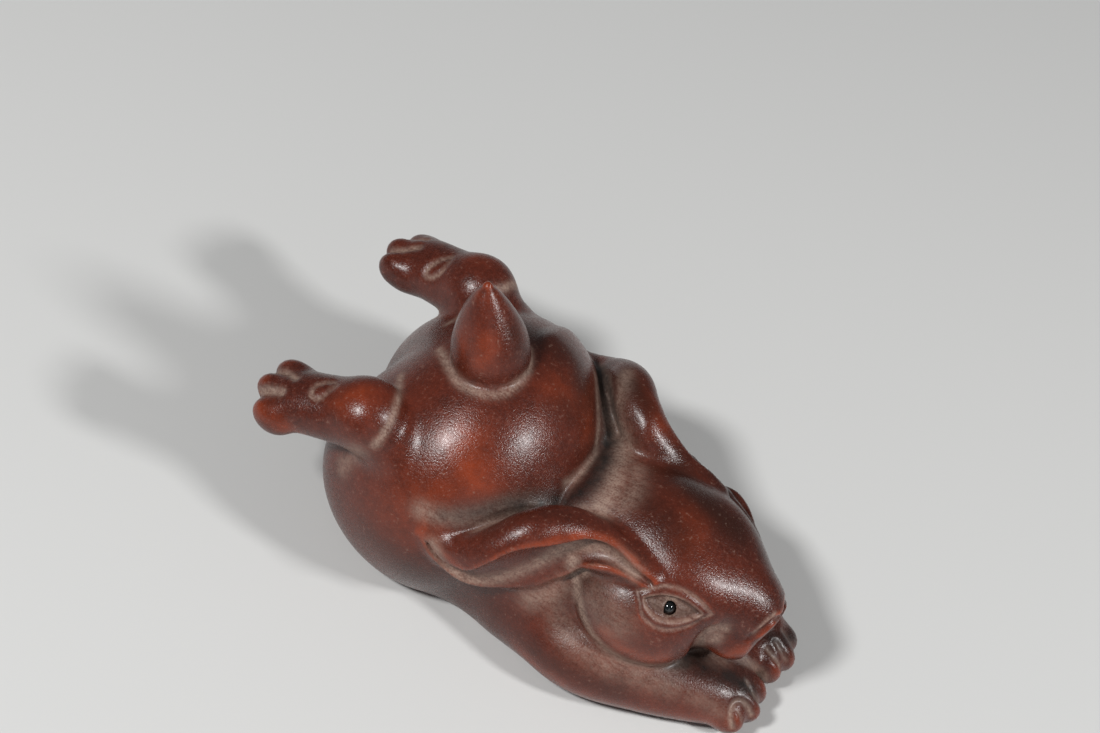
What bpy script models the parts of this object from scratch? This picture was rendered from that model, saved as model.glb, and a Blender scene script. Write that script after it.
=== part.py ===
# Tea pet: a plump rabbit of moulded clay that sprawls on its belly. Its rump is a ball, its hind
# feet are kicked back with the soles up, its tail stands, its long ears lie back along its flanks
# and its chin rests between its stretched front paws. Two small beads are set in as pupils.
# X runs from tail to nose, Y to the rabbit's left and Z up. Lengths are in metres.

import math

import bmesh
import bpy
from mathutils import Matrix, Vector
from mathutils.bvhtree import BVHTree
from mathutils.kdtree import KDTree

# Rump, a ball cut flat by the ground, with a haunch swelling on each side
RUMP_LENGTH = 0.042
RUMP_WIDTH = 0.0524
RUMP_TOP = 0.0426
RUMP_DEPTH = 0.0508
HAUNCH_LENGTH = 0.0386
HAUNCH_WIDTH = 0.032
HAUNCH_DEPTH = 0.038
HAUNCH_SPREAD = 0.020
HAUNCH_SETBACK = 0.0046

# Trunk with a shoulder on each side, and the saddle of the neck over them
TRUNK_LENGTH = 0.062
TRUNK_WIDTH = 0.0420
TRUNK_TOP = 0.021
TRUNK_DEPTH = 0.032
TRUNK_FORWARD = 0.0219
SHOULDER_WIDTH = 0.021
SHOULDER_SPREAD = 0.019
SHOULDER_TOP = 0.0225
NECK_LENGTH = 0.018
NECK_WIDTH = 0.034
NECK_DEPTH = 0.0296
NECK_SETBACK = 0.015
NAPE_WIDTH = 0.018
NAPE_SPREAD = 0.023
NAPE_DEPTH = 0.027
BIB_LENGTH = 0.030
BIB_WIDTH = 0.015
BIB_DEPTH = 0.0112
BIB_TOP = 0.0124

# Head, placed forward of the rump and nodding down
HEAD_FORWARD = 0.0379
HEAD_LENGTH = 0.034
HEAD_WIDTH = 0.030
HEAD_TOP = 0.0345
HEAD_DEPTH = 0.030
HEAD_NOD = math.radians(12)
MUZZLE_LENGTH = 0.0198
MUZZLE_WIDTH = 0.0148
MUZZLE_DEPTH = 0.0158
MUZZLE_REACH = 0.0147
MUZZLE_RISE = 0.0021
LIP_WIDTH = 0.0092
LIP_SPREAD = 0.0088
BROW_LENGTH = 0.013
BROW_WIDTH = 0.0088
BROW_SPREAD = 0.012
CHEEK_LENGTH = 0.0232
CHEEK_WIDTH = 0.0168
CHEEK_DEPTH = 0.0196
CHEEK_SPREAD = 0.0228

# Ears: how far the root lies before the middle of the head, and then reach, spread and height
EAR_ROOT = 0.0021
EAR_REACH = 0.0374
EAR_SPREAD = 0.052
EAR_CREST = 0.0322
EAR_RIM = 0.0009
EAR_THICKNESS = 0.0032
EAR_BACK_RADIUS = 0.0047
EAR_HOLLOW = 0.0024

# Front legs
ARM_RADIUS = 0.0080
PAW_RADIUS = 0.0052
PAW_REACH = 0.0598
PAW_SPREAD = 0.0130
ELBOW_FORWARD = 0.0339
ELBOW_SPREAD = 0.0324
FINGER_LENGTH = 0.0070
FINGER_WIDTH = 0.0047

# Hind feet
FOOT_LENGTH = 0.0121
FOOT_WIDTH = 0.0124
FOOT_THICKNESS = 0.0116
FOOT_SPREAD = 0.0362
FOOT_PITCH = math.radians(17)
HEEL_WIDTH = 0.0124
TOE_LENGTH = 0.0080
TOE_WIDTH = 0.0055

# Tail
TAIL_HEIGHT = 0.0216
TAIL_WIDTH = 0.0137
TAIL_LEAN = math.radians(-15.7)
TAIL_SINK = 0.0052

# Eyes
BEAD_RADIUS = 0.00115
BEAD_CLEARANCE = 0.0003
BEAD_PROUD = 0.0003
EYE_LENGTH = 0.0104
EYE_LIFT = 0.0017
EYE_DROP = 0.0038
LID_STEPS = 28
CARVED_LINE = 0.0005

# The ear's rims and the middle of its thick back, from the root to the tip, as shares of its reach,
# of half its spread and of its crest's height
UPPER_RIM = (
    (0.00, 0.485, 0.925), (0.07, 0.492, 0.957), (0.20, 0.469, 0.981), (0.34, 0.515, 1.000),
    (0.44, 0.642, 1.000), (0.52, 0.785, 0.975), (0.58, 0.896, 0.882), (0.67, 0.985, 0.745),
    (0.78, 1.000, 0.671), (0.90, 0.985, 0.665), (1.00, 0.958, 0.745),
)
LOWER_RIM = (
    (0.00, 0.508, 0.891), (0.09, 0.546, 0.907), (0.23, 0.592, 0.913), (0.35, 0.638, 0.826),
    (0.43, 0.746, 0.671), (0.51, 0.835, 0.565), (0.60, 0.896, 0.522), (0.71, 0.969, 0.522),
    (0.81, 1.008, 0.565), (0.91, 1.000, 0.627), (1.00, 0.969, 0.733),
)
EAR_BACK = (
    (0.04, 0.408, 0.870), (0.20, 0.423, 0.888), (0.37, 0.477, 0.919), (0.49, 0.581, 0.950),
    (0.57, 0.719, 0.938), (0.64, 0.823, 0.851), (0.73, 0.892, 0.758), (0.82, 0.915, 0.708),
    (0.91, 0.923, 0.708), (0.99, 0.938, 0.745),
)
# How much of its full thickness, back and hollow the ear has at those stations
EAR_TAPER = (0.38, 0.62, 0.81, 0.94, 1.00, 1.00, 0.94, 0.88, 0.75, 0.56, 0.25)
BACK_TAPER = (0.51, 0.77, 0.98, 1.00, 0.98, 0.89, 0.77, 0.64, 0.47, 0.23)
HOLLOW_TAPER = (0.20, 0.42, 0.62, 0.83, 0.96, 1.00, 0.96, 0.83, 0.62, 0.42, 0.14)

# Mouth and nostril from the middle of the muzzle, and the pad's outline from the heel, in metres
SMILE = (
    (-0.0013, 0.0094, -0.0082), (-0.0013, 0.0104, -0.0054), (-0.0010, 0.0107, -0.0022),
    (0.0002, 0.0102, 0.0006), (0.0018, 0.0088, 0.0024),
)
NOSTRIL = (
    (0.0060, 0.0062, 0.0011), (0.0070, 0.0042, 0.0028), (0.0076, 0.0022, 0.0038), (0.0082, 0.0006, 0.0034),
)
PAD = (
    (-0.0084, -0.0019, 0.0032), (-0.0060, -0.0011, 0.0042), (-0.0046, 0.0009, 0.0046),
    (-0.0064, 0.0027, 0.0038), (-0.0092, 0.0029, 0.0026),
)

# Mesh
MASS_VOXEL = 0.0007
BODY_VOXEL = 0.00045
BODY_TRIANGLES = 10600

RED_CLAY = (0.17, 0.045, 0.028, 1)
BEAD_BLACK = (0.006, 0.007, 0.008, 1)

RUMP_CENTRE = Vector((0, 0, RUMP_TOP - RUMP_DEPTH / 2))
HEAD_CENTRE = Vector((HEAD_FORWARD, 0, HEAD_TOP - HEAD_DEPTH / 2))
MUZZLE_CENTRE = HEAD_CENTRE + Vector((MUZZLE_REACH, 0, MUZZLE_RISE))
EYE_CENTRE = HEAD_CENTRE + Vector((0.0071, 0.0126, 0.0074))
EYE_ALONG = Vector((1, -0.31, -0.04)).normalized()
EYE_OUTWARD = Vector((0.27, 0.87, 0.41)).normalized()
SIDES = {"left": 1, "right": -1}


def clear_scene():
    for obj in list(bpy.data.objects):
        bpy.data.objects.remove(obj, do_unlink=True)


def new_collection(name):
    collection = bpy.data.collections.new(name)
    bpy.context.scene.collection.children.link(collection)
    return collection


def new_material(name, color, roughness):
    material = bpy.data.materials.new(name)
    material.use_nodes = True
    shader = material.node_tree.nodes["Principled BSDF"]
    shader.inputs["Base Color"].default_value = color
    shader.inputs["Roughness"].default_value = roughness
    shader.inputs["Metallic"].default_value = 0
    return material


def add_object(name, mesh):
    obj = bpy.data.objects.new(name, mesh)
    clay_parts.objects.link(obj)
    return obj


def ellipsoid(name, centre, size, turn=Matrix(), fineness=4):
    """An icosphere stretched to size, turned and moved to its centre."""
    shape = bmesh.new()
    bmesh.ops.create_icosphere(shape, subdivisions=fineness, radius=0.5)
    place = Matrix.Translation(centre) @ turn @ Matrix.Diagonal((*size, 1))
    bmesh.ops.transform(shape, matrix=place, verts=shape.verts)
    mesh = bpy.data.meshes.new(name)
    shape.to_mesh(mesh)
    shape.free()
    return add_object(name, mesh)


def settled(obj):
    """The object's evaluated mesh takes the place of its mesh and modifiers."""
    graph = bpy.context.evaluated_depsgraph_get()
    mesh = bpy.data.meshes.new_from_object(obj.evaluated_get(graph))
    obj.modifiers.clear()
    obj.data = mesh
    return obj


def tube(name, points, radii, resolution=4):
    """A tapering tube through the points, with closed ends, made a mesh."""
    curve = bpy.data.curves.new(name, "CURVE")
    curve.dimensions = "3D"
    curve.bevel_depth = 1
    curve.bevel_resolution = resolution
    curve.use_fill_caps = True
    curve.resolution_u = 8
    spline = curve.splines.new("BEZIER")
    spline.radius_interpolation = "BSPLINE"
    spline.bezier_points.add(len(points) - 1)
    for knot, point, radius in zip(spline.bezier_points, points, radii):
        knot.co = point
        knot.radius = radius
        knot.handle_left_type = "AUTO"
        knot.handle_right_type = "AUTO"
    guide = bpy.data.objects.new(name, curve)
    clay_parts.objects.link(guide)
    graph = bpy.context.evaluated_depsgraph_get()
    mesh = bpy.data.meshes.new_from_object(guide.evaluated_get(graph))
    bpy.data.objects.remove(guide, do_unlink=True)
    shape = bmesh.new()
    shape.from_mesh(mesh)
    bmesh.ops.remove_doubles(shape, verts=shape.verts, dist=1e-6)
    bmesh.ops.recalc_face_normals(shape, faces=shape.faces)
    shape.to_mesh(mesh)
    shape.free()
    return add_object(name, mesh)


def eased(values, share):
    """The value at a share from 0 to 1 along a smooth curve through evenly spaced values."""
    spans = len(values) - 1
    index = min(int(share * spans), spans - 1)
    part = share * spans - index
    before = values[max(index - 1, 0)]
    start, end = values[index], values[index + 1]
    after = values[min(index + 2, spans)]
    slope_in, slope_out = (end - before) / 2, (after - start) / 2
    return (
        start * (2 * part**3 - 3 * part**2 + 1)
        + slope_in * (part**3 - 2 * part**2 + part)
        + end * (3 * part**2 - 2 * part**3)
        + slope_out * (part**3 - part**2)
    )


def leaf(name, spine, widths, thicknesses, facings, rings=44, sides=28):
    """A loft of elliptical sections along a spine: each has its width, its thickness and the way it faces."""
    shape = bmesh.new()
    loops = []
    for ring in range(rings + 1):
        share = ring / rings
        middle = eased(spine, share)
        ahead = eased(spine, min(share + 0.01, 1)) - eased(spine, max(share - 0.01, 0))
        ahead.normalize()
        facing = eased(facings, share)
        facing = (facing - ahead * facing.dot(ahead)).normalized()
        across = ahead.cross(facing)
        width, thickness = eased(widths, share), eased(thicknesses, share)
        loop = []
        for side in range(sides):
            angle = 2 * math.pi * side / sides
            over = across * (width / 2 * math.cos(angle)) + facing * (thickness / 2 * math.sin(angle))
            loop.append(shape.verts.new(middle + over))
        loops.append(loop)
    for near, far in zip(loops, loops[1:]):
        for side in range(sides):
            after = (side + 1) % sides
            shape.faces.new((near[side], near[after], far[after], far[side]))
    shape.faces.new(reversed(loops[0]))
    shape.faces.new(loops[-1])
    bmesh.ops.recalc_face_normals(shape, faces=shape.faces)
    mesh = bpy.data.meshes.new(name)
    shape.to_mesh(mesh)
    shape.free()
    return add_object(name, mesh)


def fused(name, pieces, voxel, smoothing):
    """Overlapping closed pieces become one skin, and the smoothing rounds the folds between them."""
    shape = bmesh.new()
    for piece in pieces:
        piece.data.transform(piece.matrix_world)
        shape.from_mesh(piece.data)
        bpy.data.objects.remove(piece, do_unlink=True)
    mesh = bpy.data.meshes.new(name)
    shape.to_mesh(mesh)
    shape.free()
    body = add_object(name, mesh)
    skin = body.modifiers.new("skin", "REMESH")
    skin.mode = "VOXEL"
    skin.voxel_size = voxel
    if smoothing:
        rounding = body.modifiers.new("rounding", "SMOOTH")
        rounding.factor = 0.5
        rounding.iterations = smoothing
    return settled(body)


def mirrored(point, side):
    return Vector((point[0], point[1] * side, point[2]))


def tilt(pitch=0.0, yaw=0.0):
    return Matrix.Rotation(yaw, 4, "Z") @ Matrix.Rotation(pitch, 4, "Y")


def arm_places(side):
    """Middles of a front leg from the shoulder to the paw."""
    height = ARM_RADIUS * 0.88
    shoulder = mirrored((TRUNK_FORWARD - 0.0015, ELBOW_SPREAD * 0.438, height), side)
    elbow = mirrored((ELBOW_FORWARD, ELBOW_SPREAD / 2, height), side)
    paw = mirrored((PAW_REACH, PAW_SPREAD / 2, PAW_RADIUS * 0.95), side)
    forearm = elbow.lerp(paw, 0.44) + mirrored((0, 0.0012, 0), side)
    wrist = elbow.lerp(paw, 0.82) + mirrored((0, 0.0008, 0.0001), side)
    return shoulder, elbow, forearm, wrist, paw


def make_torso():
    """Rump, haunches, trunk, nape, shoulders and the two front legs, softly joined."""
    rump_size = (RUMP_LENGTH, RUMP_WIDTH, RUMP_DEPTH)
    trunk_centre = (TRUNK_FORWARD, 0, TRUNK_TOP - TRUNK_DEPTH / 2)
    bib_centre = (PAW_REACH - BIB_LENGTH * 0.45, 0, BIB_TOP - BIB_DEPTH / 2)
    pieces = [
        ellipsoid("rump", RUMP_CENTRE, rump_size),
        ellipsoid("trunk", trunk_centre, (TRUNK_LENGTH, TRUNK_WIDTH, TRUNK_DEPTH)),
        ellipsoid("bib", bib_centre, (BIB_LENGTH, BIB_WIDTH, BIB_DEPTH)),
    ]
    for side in SIDES.values():
        haunch = RUMP_CENTRE + Vector((-HAUNCH_SETBACK, side * HAUNCH_SPREAD / 2, -0.0022))
        pieces.append(ellipsoid("haunch", haunch, (HAUNCH_LENGTH, HAUNCH_WIDTH, HAUNCH_DEPTH)))
        top = mirrored((TRUNK_FORWARD + 0.003, SHOULDER_SPREAD / 2, SHOULDER_TOP - SHOULDER_WIDTH / 2), side)
        pieces.append(ellipsoid("shoulder", top, [SHOULDER_WIDTH] * 3))
        nape = mirrored((RUMP_LENGTH * 0.39, NAPE_SPREAD / 2, TRUNK_TOP - 0.0065), side)
        pieces.append(ellipsoid("nape", nape, (NAPE_WIDTH, NAPE_WIDTH, NAPE_DEPTH)))
        places = arm_places(side)
        radii = (ARM_RADIUS, ARM_RADIUS, ARM_RADIUS * 0.85, PAW_RADIUS * 1.11, PAW_RADIUS)
        pieces.append(tube("arm", places, radii))
        pieces.append(ellipsoid("paw", places[-1], [2 * PAW_RADIUS] * 3))
    return fused("torso", pieces, MASS_VOXEL, 12)


def make_head():
    """Skull, saddle of the neck, muzzle, brows, cheeks and the two lobes of the upper lip."""
    neck = Vector((HEAD_FORWARD - NECK_SETBACK, 0, HEAD_CENTRE.z - 0.0040))
    pieces = [
        ellipsoid("skull", HEAD_CENTRE, (HEAD_LENGTH, HEAD_WIDTH, HEAD_DEPTH), tilt(HEAD_NOD)),
        ellipsoid("muzzle", MUZZLE_CENTRE, (MUZZLE_LENGTH, MUZZLE_WIDTH, MUZZLE_DEPTH), tilt(HEAD_NOD * 1.5)),
        ellipsoid("neck", neck, (NECK_LENGTH, NECK_WIDTH, NECK_DEPTH)),
    ]
    for side in SIDES.values():
        brow = HEAD_CENTRE + mirrored((0.0079, BROW_SPREAD / 2, HEAD_DEPTH * 0.217), side)
        brow_turn = tilt(HEAD_NOD * 2, -0.28 * side)
        pieces.append(ellipsoid("brow", brow, (BROW_LENGTH, BROW_WIDTH, BROW_WIDTH), brow_turn))
        cheek = HEAD_CENTRE + mirrored((0.0018, CHEEK_SPREAD / 2, -0.0010), side)
        cheek_turn = tilt(HEAD_NOD * 1.17, -0.21 * side)
        pieces.append(ellipsoid("cheek", cheek, (CHEEK_LENGTH, CHEEK_WIDTH, CHEEK_DEPTH), cheek_turn))
    face = fused("face", pieces, MASS_VOXEL, 12)
    lips = []
    for side in SIDES.values():
        lip = MUZZLE_CENTRE + mirrored((0.0024, LIP_SPREAD / 2, -0.0036), side)
        lips.append(ellipsoid("lip", lip, [LIP_WIDTH] * 3))
    return fused("head", [face, *lips], MASS_VOXEL, 2)


def ear_places(shares, side):
    root = HEAD_FORWARD + EAR_ROOT
    return [
        mirrored((root - EAR_REACH * back, EAR_SPREAD / 2 * out, EAR_CREST * up), side)
        for back, out, up in shares
    ]


def ear_loft(name, side, grown, thicknesses, outward):
    """A loft between the two rims, wider than they are by grown and moved out by outward of its thickness."""
    upper, lower = ear_places(UPPER_RIM, side), ear_places(LOWER_RIM, side)
    middles = [(high + low) / 2 for high, low in zip(upper, lower)]
    facings = []
    for index, (high, low) in enumerate(zip(upper, lower)):
        ahead = middles[min(index + 1, len(middles) - 1)] - middles[max(index - 1, 0)]
        facing = (high - low).cross(ahead).normalized()
        facings.append(facing if facing.y * side > 0 else -facing)
    spine = [place + facing * size * outward for place, facing, size in zip(middles, facings, thicknesses)]
    widths = [max((high - low).length + grown, 0.0006) for high, low in zip(upper, lower)]
    return leaf(name, spine, widths, thicknesses, facings)


def make_ear(side):
    """A thick round back that runs from the brow to the flank, and the leaf with the two rims on it."""
    radii = [EAR_BACK_RADIUS * share for share in BACK_TAPER]
    back = tube("ear_back", ear_places(EAR_BACK, side), radii)
    thicknesses = [2 * EAR_THICKNESS * share for share in EAR_TAPER]
    return [back, ear_loft("ear_leaf", side, 2 * EAR_RIM, thicknesses, -0.35)]


def make_hollow(side):
    """What is scooped out of the ear between its rims."""
    thicknesses = [2 * EAR_HOLLOW * share for share in HOLLOW_TAPER]
    return as_cutter(ear_loft("ear_hollow", side, -0.8 * EAR_RIM, thicknesses, 0.22))


def foot_frame():
    """Heel and toe ends of the left hind foot, and the way its sole looks."""
    heel = RUMP_CENTRE + Vector((-RUMP_LENGTH * 0.395, FOOT_SPREAD / 2, RUMP_DEPTH * 0.2905))
    back = Vector((-math.cos(FOOT_PITCH), 0.155, -math.sin(FOOT_PITCH))).normalized()
    sole = Vector((-math.sin(FOOT_PITCH), 0, math.cos(FOOT_PITCH)))
    return heel, heel + back * FOOT_LENGTH, sole


def make_foot(side):
    """Heel knob, flat sole and three long toes in a row."""
    heel, ball, sole = foot_frame()
    inside = heel + Vector((0.0105, -0.0030, -0.0055))
    spine = [mirrored(point, side) for point in (inside, heel, heel.lerp(ball, 0.6), ball)]
    widths = [FOOT_WIDTH * share for share in (0.95, 1.03, 0.95, 1.0)]
    thicknesses = [FOOT_THICKNESS * share for share in (0.85, 1.0, 0.90, 0.83)]
    knob = heel + sole * 0.0022
    pieces = [
        leaf("sole", spine, widths, thicknesses, [mirrored(sole, side)] * 4),
        ellipsoid("heel", mirrored(knob, side), (HEEL_WIDTH, HEEL_WIDTH, HEEL_WIDTH * 0.87)),
    ]
    for place in (-1, 0, 1):
        ahead = Vector((-0.0036 + 0.0015 * abs(place), place * TOE_WIDTH * 0.78, -0.0005 - 0.0007 * place))
        toe = mirrored(ball + ahead, side)
        pieces.append(ellipsoid("toe", toe, (TOE_LENGTH, TOE_WIDTH, TOE_WIDTH * 1.2), tilt(-FOOT_PITCH)))
    return pieces


def make_fingers(side):
    """Three round finger ends on a front paw."""
    pieces = []
    for place in (-1, 0, 1):
        ahead = PAW_REACH + PAW_RADIUS * (0.71 - 0.20 * abs(place))
        across = PAW_SPREAD / 2 + place * FINGER_WIDTH * 0.8
        finger = mirrored((ahead, across, PAW_RADIUS * 0.90), side)
        pieces.append(ellipsoid("finger", finger, (FINGER_LENGTH, FINGER_WIDTH, FINGER_LENGTH)))
    return pieces


def make_tail():
    """A turned egg that ends in a point, leaning back from the top of the rump."""
    profile = (
        (0, 1), (0.14, 0.965), (0.28, 0.895), (0.43, 0.824), (0.58, 0.735), (0.72, 0.643), (0.87, 0.53),
        (0.96, 0.415), (1, 0.30), (0.985, 0.19), (0.91, 0.09), (0.76, 0), (0.45, -0.09), (0, -0.12),
    )
    shape = bmesh.new()
    verts = [shape.verts.new((r * TAIL_WIDTH / 2, 0, h * TAIL_HEIGHT)) for r, h in profile]
    for low, high in zip(verts, verts[1:]):
        shape.edges.new((low, high))
    mesh = bpy.data.meshes.new("tail")
    shape.to_mesh(mesh)
    shape.free()
    tail = add_object("tail", mesh)
    turning = tail.modifiers.new("turning", "SCREW")
    turning.steps = turning.render_steps = 40
    turning.use_merge_vertices = True
    turning.merge_threshold = 0.00001
    settled(tail)
    foot = Vector((-0.0026, 0, RUMP_TOP - TAIL_SINK))
    tail.data.transform(Matrix.Translation(foot) @ tilt(TAIL_LEAN))
    return tail


def skin_of(body):
    shape = bmesh.new()
    shape.from_mesh(body.data)
    skin = BVHTree.FromBMesh(shape)
    shape.free()
    return skin


def pressed(skin, point):
    """The place on the skin that is nearest to a point."""
    return skin.find_nearest(point)[0]


def groove(points, skin, width, closed=False):
    """Closely spaced places along a groove through the points, pressed on to the skin, with its width."""
    ends = points[1:] + points[:1] if closed else points[1:]
    places = []
    for start, end in zip(points, ends):
        steps = max(1, round((end - start).length / (width / 5)))
        places += [start.lerp(end, step / steps) for step in range(steps)]
    return [(pressed(skin, place), width) for place in places]


def press_in(body, grooves):
    """The skin sinks round the grooves, deepest in their middle, at half of their width."""
    tree = KDTree(len(grooves))
    for index, (place, _) in enumerate(grooves):
        tree.insert(place, index)
    tree.balance()
    for vertex in body.data.vertices:
        _, index, distance = tree.find(vertex.co)
        width = grooves[index][1]
        if distance < width:
            vertex.co -= vertex.normal * (width / 2) * (1 - (distance / width) ** 2) ** 2


def as_cutter(obj):
    for collection in obj.users_collection:
        collection.objects.unlink(obj)
    cutters.objects.link(obj)
    obj.hide_render = True
    obj.display_type = "WIRE"
    return obj


def eye_point(along, up, side):
    """A point beside the eye, from its middle: along it towards the nose, and up."""
    upward = EYE_ALONG.cross(EYE_OUTWARD)
    upward = upward if upward.z > 0 else -upward
    return mirrored(EYE_CENTRE + EYE_ALONG * along + upward * up, side)


def carve_details(body):
    """Lids, mouth, nostrils and the outlines of the foot pads."""
    skin = skin_of(body)
    heel = foot_frame()[0]
    grooves = []
    for side in SIDES.values():
        lids = []
        for step in range(LID_STEPS):
            angle = 2 * math.pi * step / LID_STEPS
            bow = math.sin(angle) ** 2
            up = EYE_LIFT * bow if angle < math.pi else -EYE_DROP * bow**0.75
            lids.append(eye_point(math.cos(angle) * EYE_LENGTH / 2, up, side))
        grooves += groove(lids, skin, CARVED_LINE * 2, True)
        smile = [MUZZLE_CENTRE + Vector(place) for place in SMILE]
        grooves += groove([mirrored(place, side) for place in smile], skin, CARVED_LINE * 3.4)
        nostril = [MUZZLE_CENTRE + Vector(place) for place in NOSTRIL]
        grooves += groove([mirrored(place, side) for place in nostril], skin, CARVED_LINE * 2)
        pad = [mirrored(heel + Vector(place), side) for place in PAD]
        grooves += groove(pad, skin, CARVED_LINE * 1.6)
    press_in(body, grooves)


def cut_away(body):
    for cutter in list(cutters.objects):
        cut = body.modifiers.new(cutter.name, "BOOLEAN")
        cut.solver = "EXACT"
        cut.object = cutter
        settled(body)
        bpy.data.objects.remove(cutter, do_unlink=True)


def make_body():
    pieces = [make_torso(), make_head(), make_tail()]
    for side in SIDES.values():
        pieces += make_ear(side)
        pieces += make_foot(side)
        pieces += make_fingers(side)
    body = fused("solid_rabbit", pieces, BODY_VOXEL, 2)
    for side in SIDES.values():
        make_hollow(side)
    cut_away(body)
    body = fused("body", [body], BODY_VOXEL, 2)
    carve_details(body)
    thinning = body.modifiers.new("thinning", "DECIMATE")
    thinning.ratio = BODY_TRIANGLES / sum(len(face.vertices) - 2 for face in body.data.polygons)
    settled(body)
    return body


def seat_beads(body):
    """Each bead lies in a round socket in the low half of its eye."""
    skin = skin_of(body)
    for name, side in SIDES.items():
        surface = pressed(skin, eye_point(-0.0003, -0.0012, side))
        centre = surface - mirrored(EYE_OUTWARD, side) * (BEAD_RADIUS - BEAD_PROUD)
        bead = ellipsoid("eye_bead_" + name, centre, [2 * BEAD_RADIUS] * 3, fineness=3)
        bead.data.materials.append(black_glass)
        bead.data.shade_smooth()
        socket = ellipsoid("socket", centre, [2 * (BEAD_RADIUS + BEAD_CLEARANCE)] * 3, fineness=3)
        as_cutter(socket)


def cut_base(body):
    """A block under the ground cuts the flat face that the rabbit lies on."""
    shape = bmesh.new()
    bmesh.ops.create_cube(shape, size=0.3)
    bmesh.ops.translate(shape, vec=(0, 0, -0.15), verts=shape.verts)
    mesh = bpy.data.meshes.new("ground")
    shape.to_mesh(mesh)
    shape.free()
    as_cutter(add_object("ground", mesh))


def centre_over_origin():
    """Everything moves so that the middle of the box round the body stands over the origin."""
    points = [vertex.co for vertex in body.data.vertices]
    middle = (min(p.x for p in points) + max(p.x for p in points)) / 2
    for obj in clay_parts.objects:
        obj.data.transform(Matrix.Translation((-middle, 0, 0)))


clear_scene()
clay_parts = new_collection("tea_pet_rabbit")
cutters = new_collection("cutters")
red_clay = new_material("red_clay", RED_CLAY, 0.42)
black_glass = new_material("black_glass", BEAD_BLACK, 0.08)
body = make_body()
seat_beads(body)
cut_base(body)
cut_away(body)
body.data.materials.clear()
body.data.materials.append(red_clay)
body.data.shade_smooth()
centre_over_origin()
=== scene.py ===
# A clay tea pet in the shape of a rabbit that lies on its belly: the looks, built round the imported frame.
import math

import bpy
import numpy as np
import openvdb
from mathutils import Matrix, Vector


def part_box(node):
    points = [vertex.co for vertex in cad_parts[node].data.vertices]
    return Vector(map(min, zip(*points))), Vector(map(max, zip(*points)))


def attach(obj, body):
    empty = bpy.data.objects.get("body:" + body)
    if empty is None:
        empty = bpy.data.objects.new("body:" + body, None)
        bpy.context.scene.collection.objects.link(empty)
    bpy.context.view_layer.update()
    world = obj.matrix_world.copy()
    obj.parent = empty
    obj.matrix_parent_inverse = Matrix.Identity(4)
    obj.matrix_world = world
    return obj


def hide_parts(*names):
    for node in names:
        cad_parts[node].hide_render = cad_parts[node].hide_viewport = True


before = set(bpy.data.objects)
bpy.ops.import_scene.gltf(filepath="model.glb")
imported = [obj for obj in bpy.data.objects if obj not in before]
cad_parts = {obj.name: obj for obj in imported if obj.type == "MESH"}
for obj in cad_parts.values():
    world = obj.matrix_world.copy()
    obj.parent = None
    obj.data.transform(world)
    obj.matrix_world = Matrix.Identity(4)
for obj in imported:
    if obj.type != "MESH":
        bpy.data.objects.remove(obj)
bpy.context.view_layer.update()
millimetre = 0.001
tiny = np.float32(1e-9)  # keeps a division off nought
farOff = 1e3  # the distance that a point gets which a line doesn't reach
print("frame loaded")


# A turn by yaw about z, then pitch (nose down) about y, then roll about x, in degrees.
# Its columns are the form's own axes.
def turned(yaw=0.0, pitch=0.0, roll=0.0):
    a, b, c = np.radians([yaw, pitch, roll])
    aboutZ = np.array([[np.cos(a), -np.sin(a), 0], [np.sin(a), np.cos(a), 0], [0, 0, 1]])
    aboutY = np.array([[np.cos(b), 0, np.sin(b)], [0, 1, 0], [-np.sin(b), 0, np.cos(b)]])
    aboutX = np.array([[1, 0, 0], [0, np.cos(c), -np.sin(c)], [0, np.sin(c), np.cos(c)]])
    return (aboutZ @ aboutY @ aboutX).astype(np.float32)


# Distance to an egg: k (k - 1) / g. Here k is the point's length after dividing by the radii,
# and g the length after dividing twice.
def egg(points, form):
    local = points - np.float32(form["centre"])
    if "turn" in form:
        local = local @ turned(**form["turn"])
    once = local / np.float32(form["radii"])
    twice = once / np.float32(form["radii"])
    k = np.sqrt((once * once).sum(1))
    return k * (k - 1) / (np.sqrt((twice * twice).sum(1)) + tiny)


# The stations with one more at each end, as far on as the span beside it is long.
def extended(given):
    return np.vstack([2 * given[0] - given[1], given, 2 * given[-1] - given[-2]])


# A smooth curve through the stations: Catmull-Rom cubics, steps pieces to a span.
def smoothPath(stations, steps):
    given = np.asarray(stations, float)
    ends = extended(given)
    t = np.linspace(0, 1, steps, endpoint=False)[:, None]
    spans = []
    for before, start, end, after in zip(ends[:-3], ends[1:-2], ends[2:-1], ends[3:]):
        linear = (end - before) * t
        square = (2 * before - 5 * start + 4 * end - after) * t**2
        cubic = (3 * start - 3 * end + after - before) * t**3
        spans.append(0.5 * (2 * start + linear + square + cubic))
    return np.vstack(spans + [given[-1:]]).astype(np.float32)


# Which points lie in the path's box, widened by reach. Only these need their distance.
def nearPath(points, path, reach):
    low, high = path[:, :3].min(0) - reach, path[:, :3].max(0) + reach
    return ((points > low) & (points < high)).all(1)


# The same curve at u, which counts stations from 0: the place, with what else the stations
# give, and the slope.
def curveAt(stations, u):
    given = np.asarray(stations, np.float32)
    ends = extended(given)
    i = np.minimum(u.astype(int), len(given) - 2)
    t = (u - i)[:, None].astype(np.float32)
    before, start, end, after = ends[i], ends[i + 1], ends[i + 2], ends[i + 3]
    linear = end - before
    square = 2 * before - 5 * start + 4 * end - after
    cubic = 3 * start - 3 * end + after - before
    place = 0.5 * (2 * start + t * (linear + t * (square + t * cubic)))
    return place, 0.5 * (linear + t * (2 * square + 3 * t * cubic))[:, :3]


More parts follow.
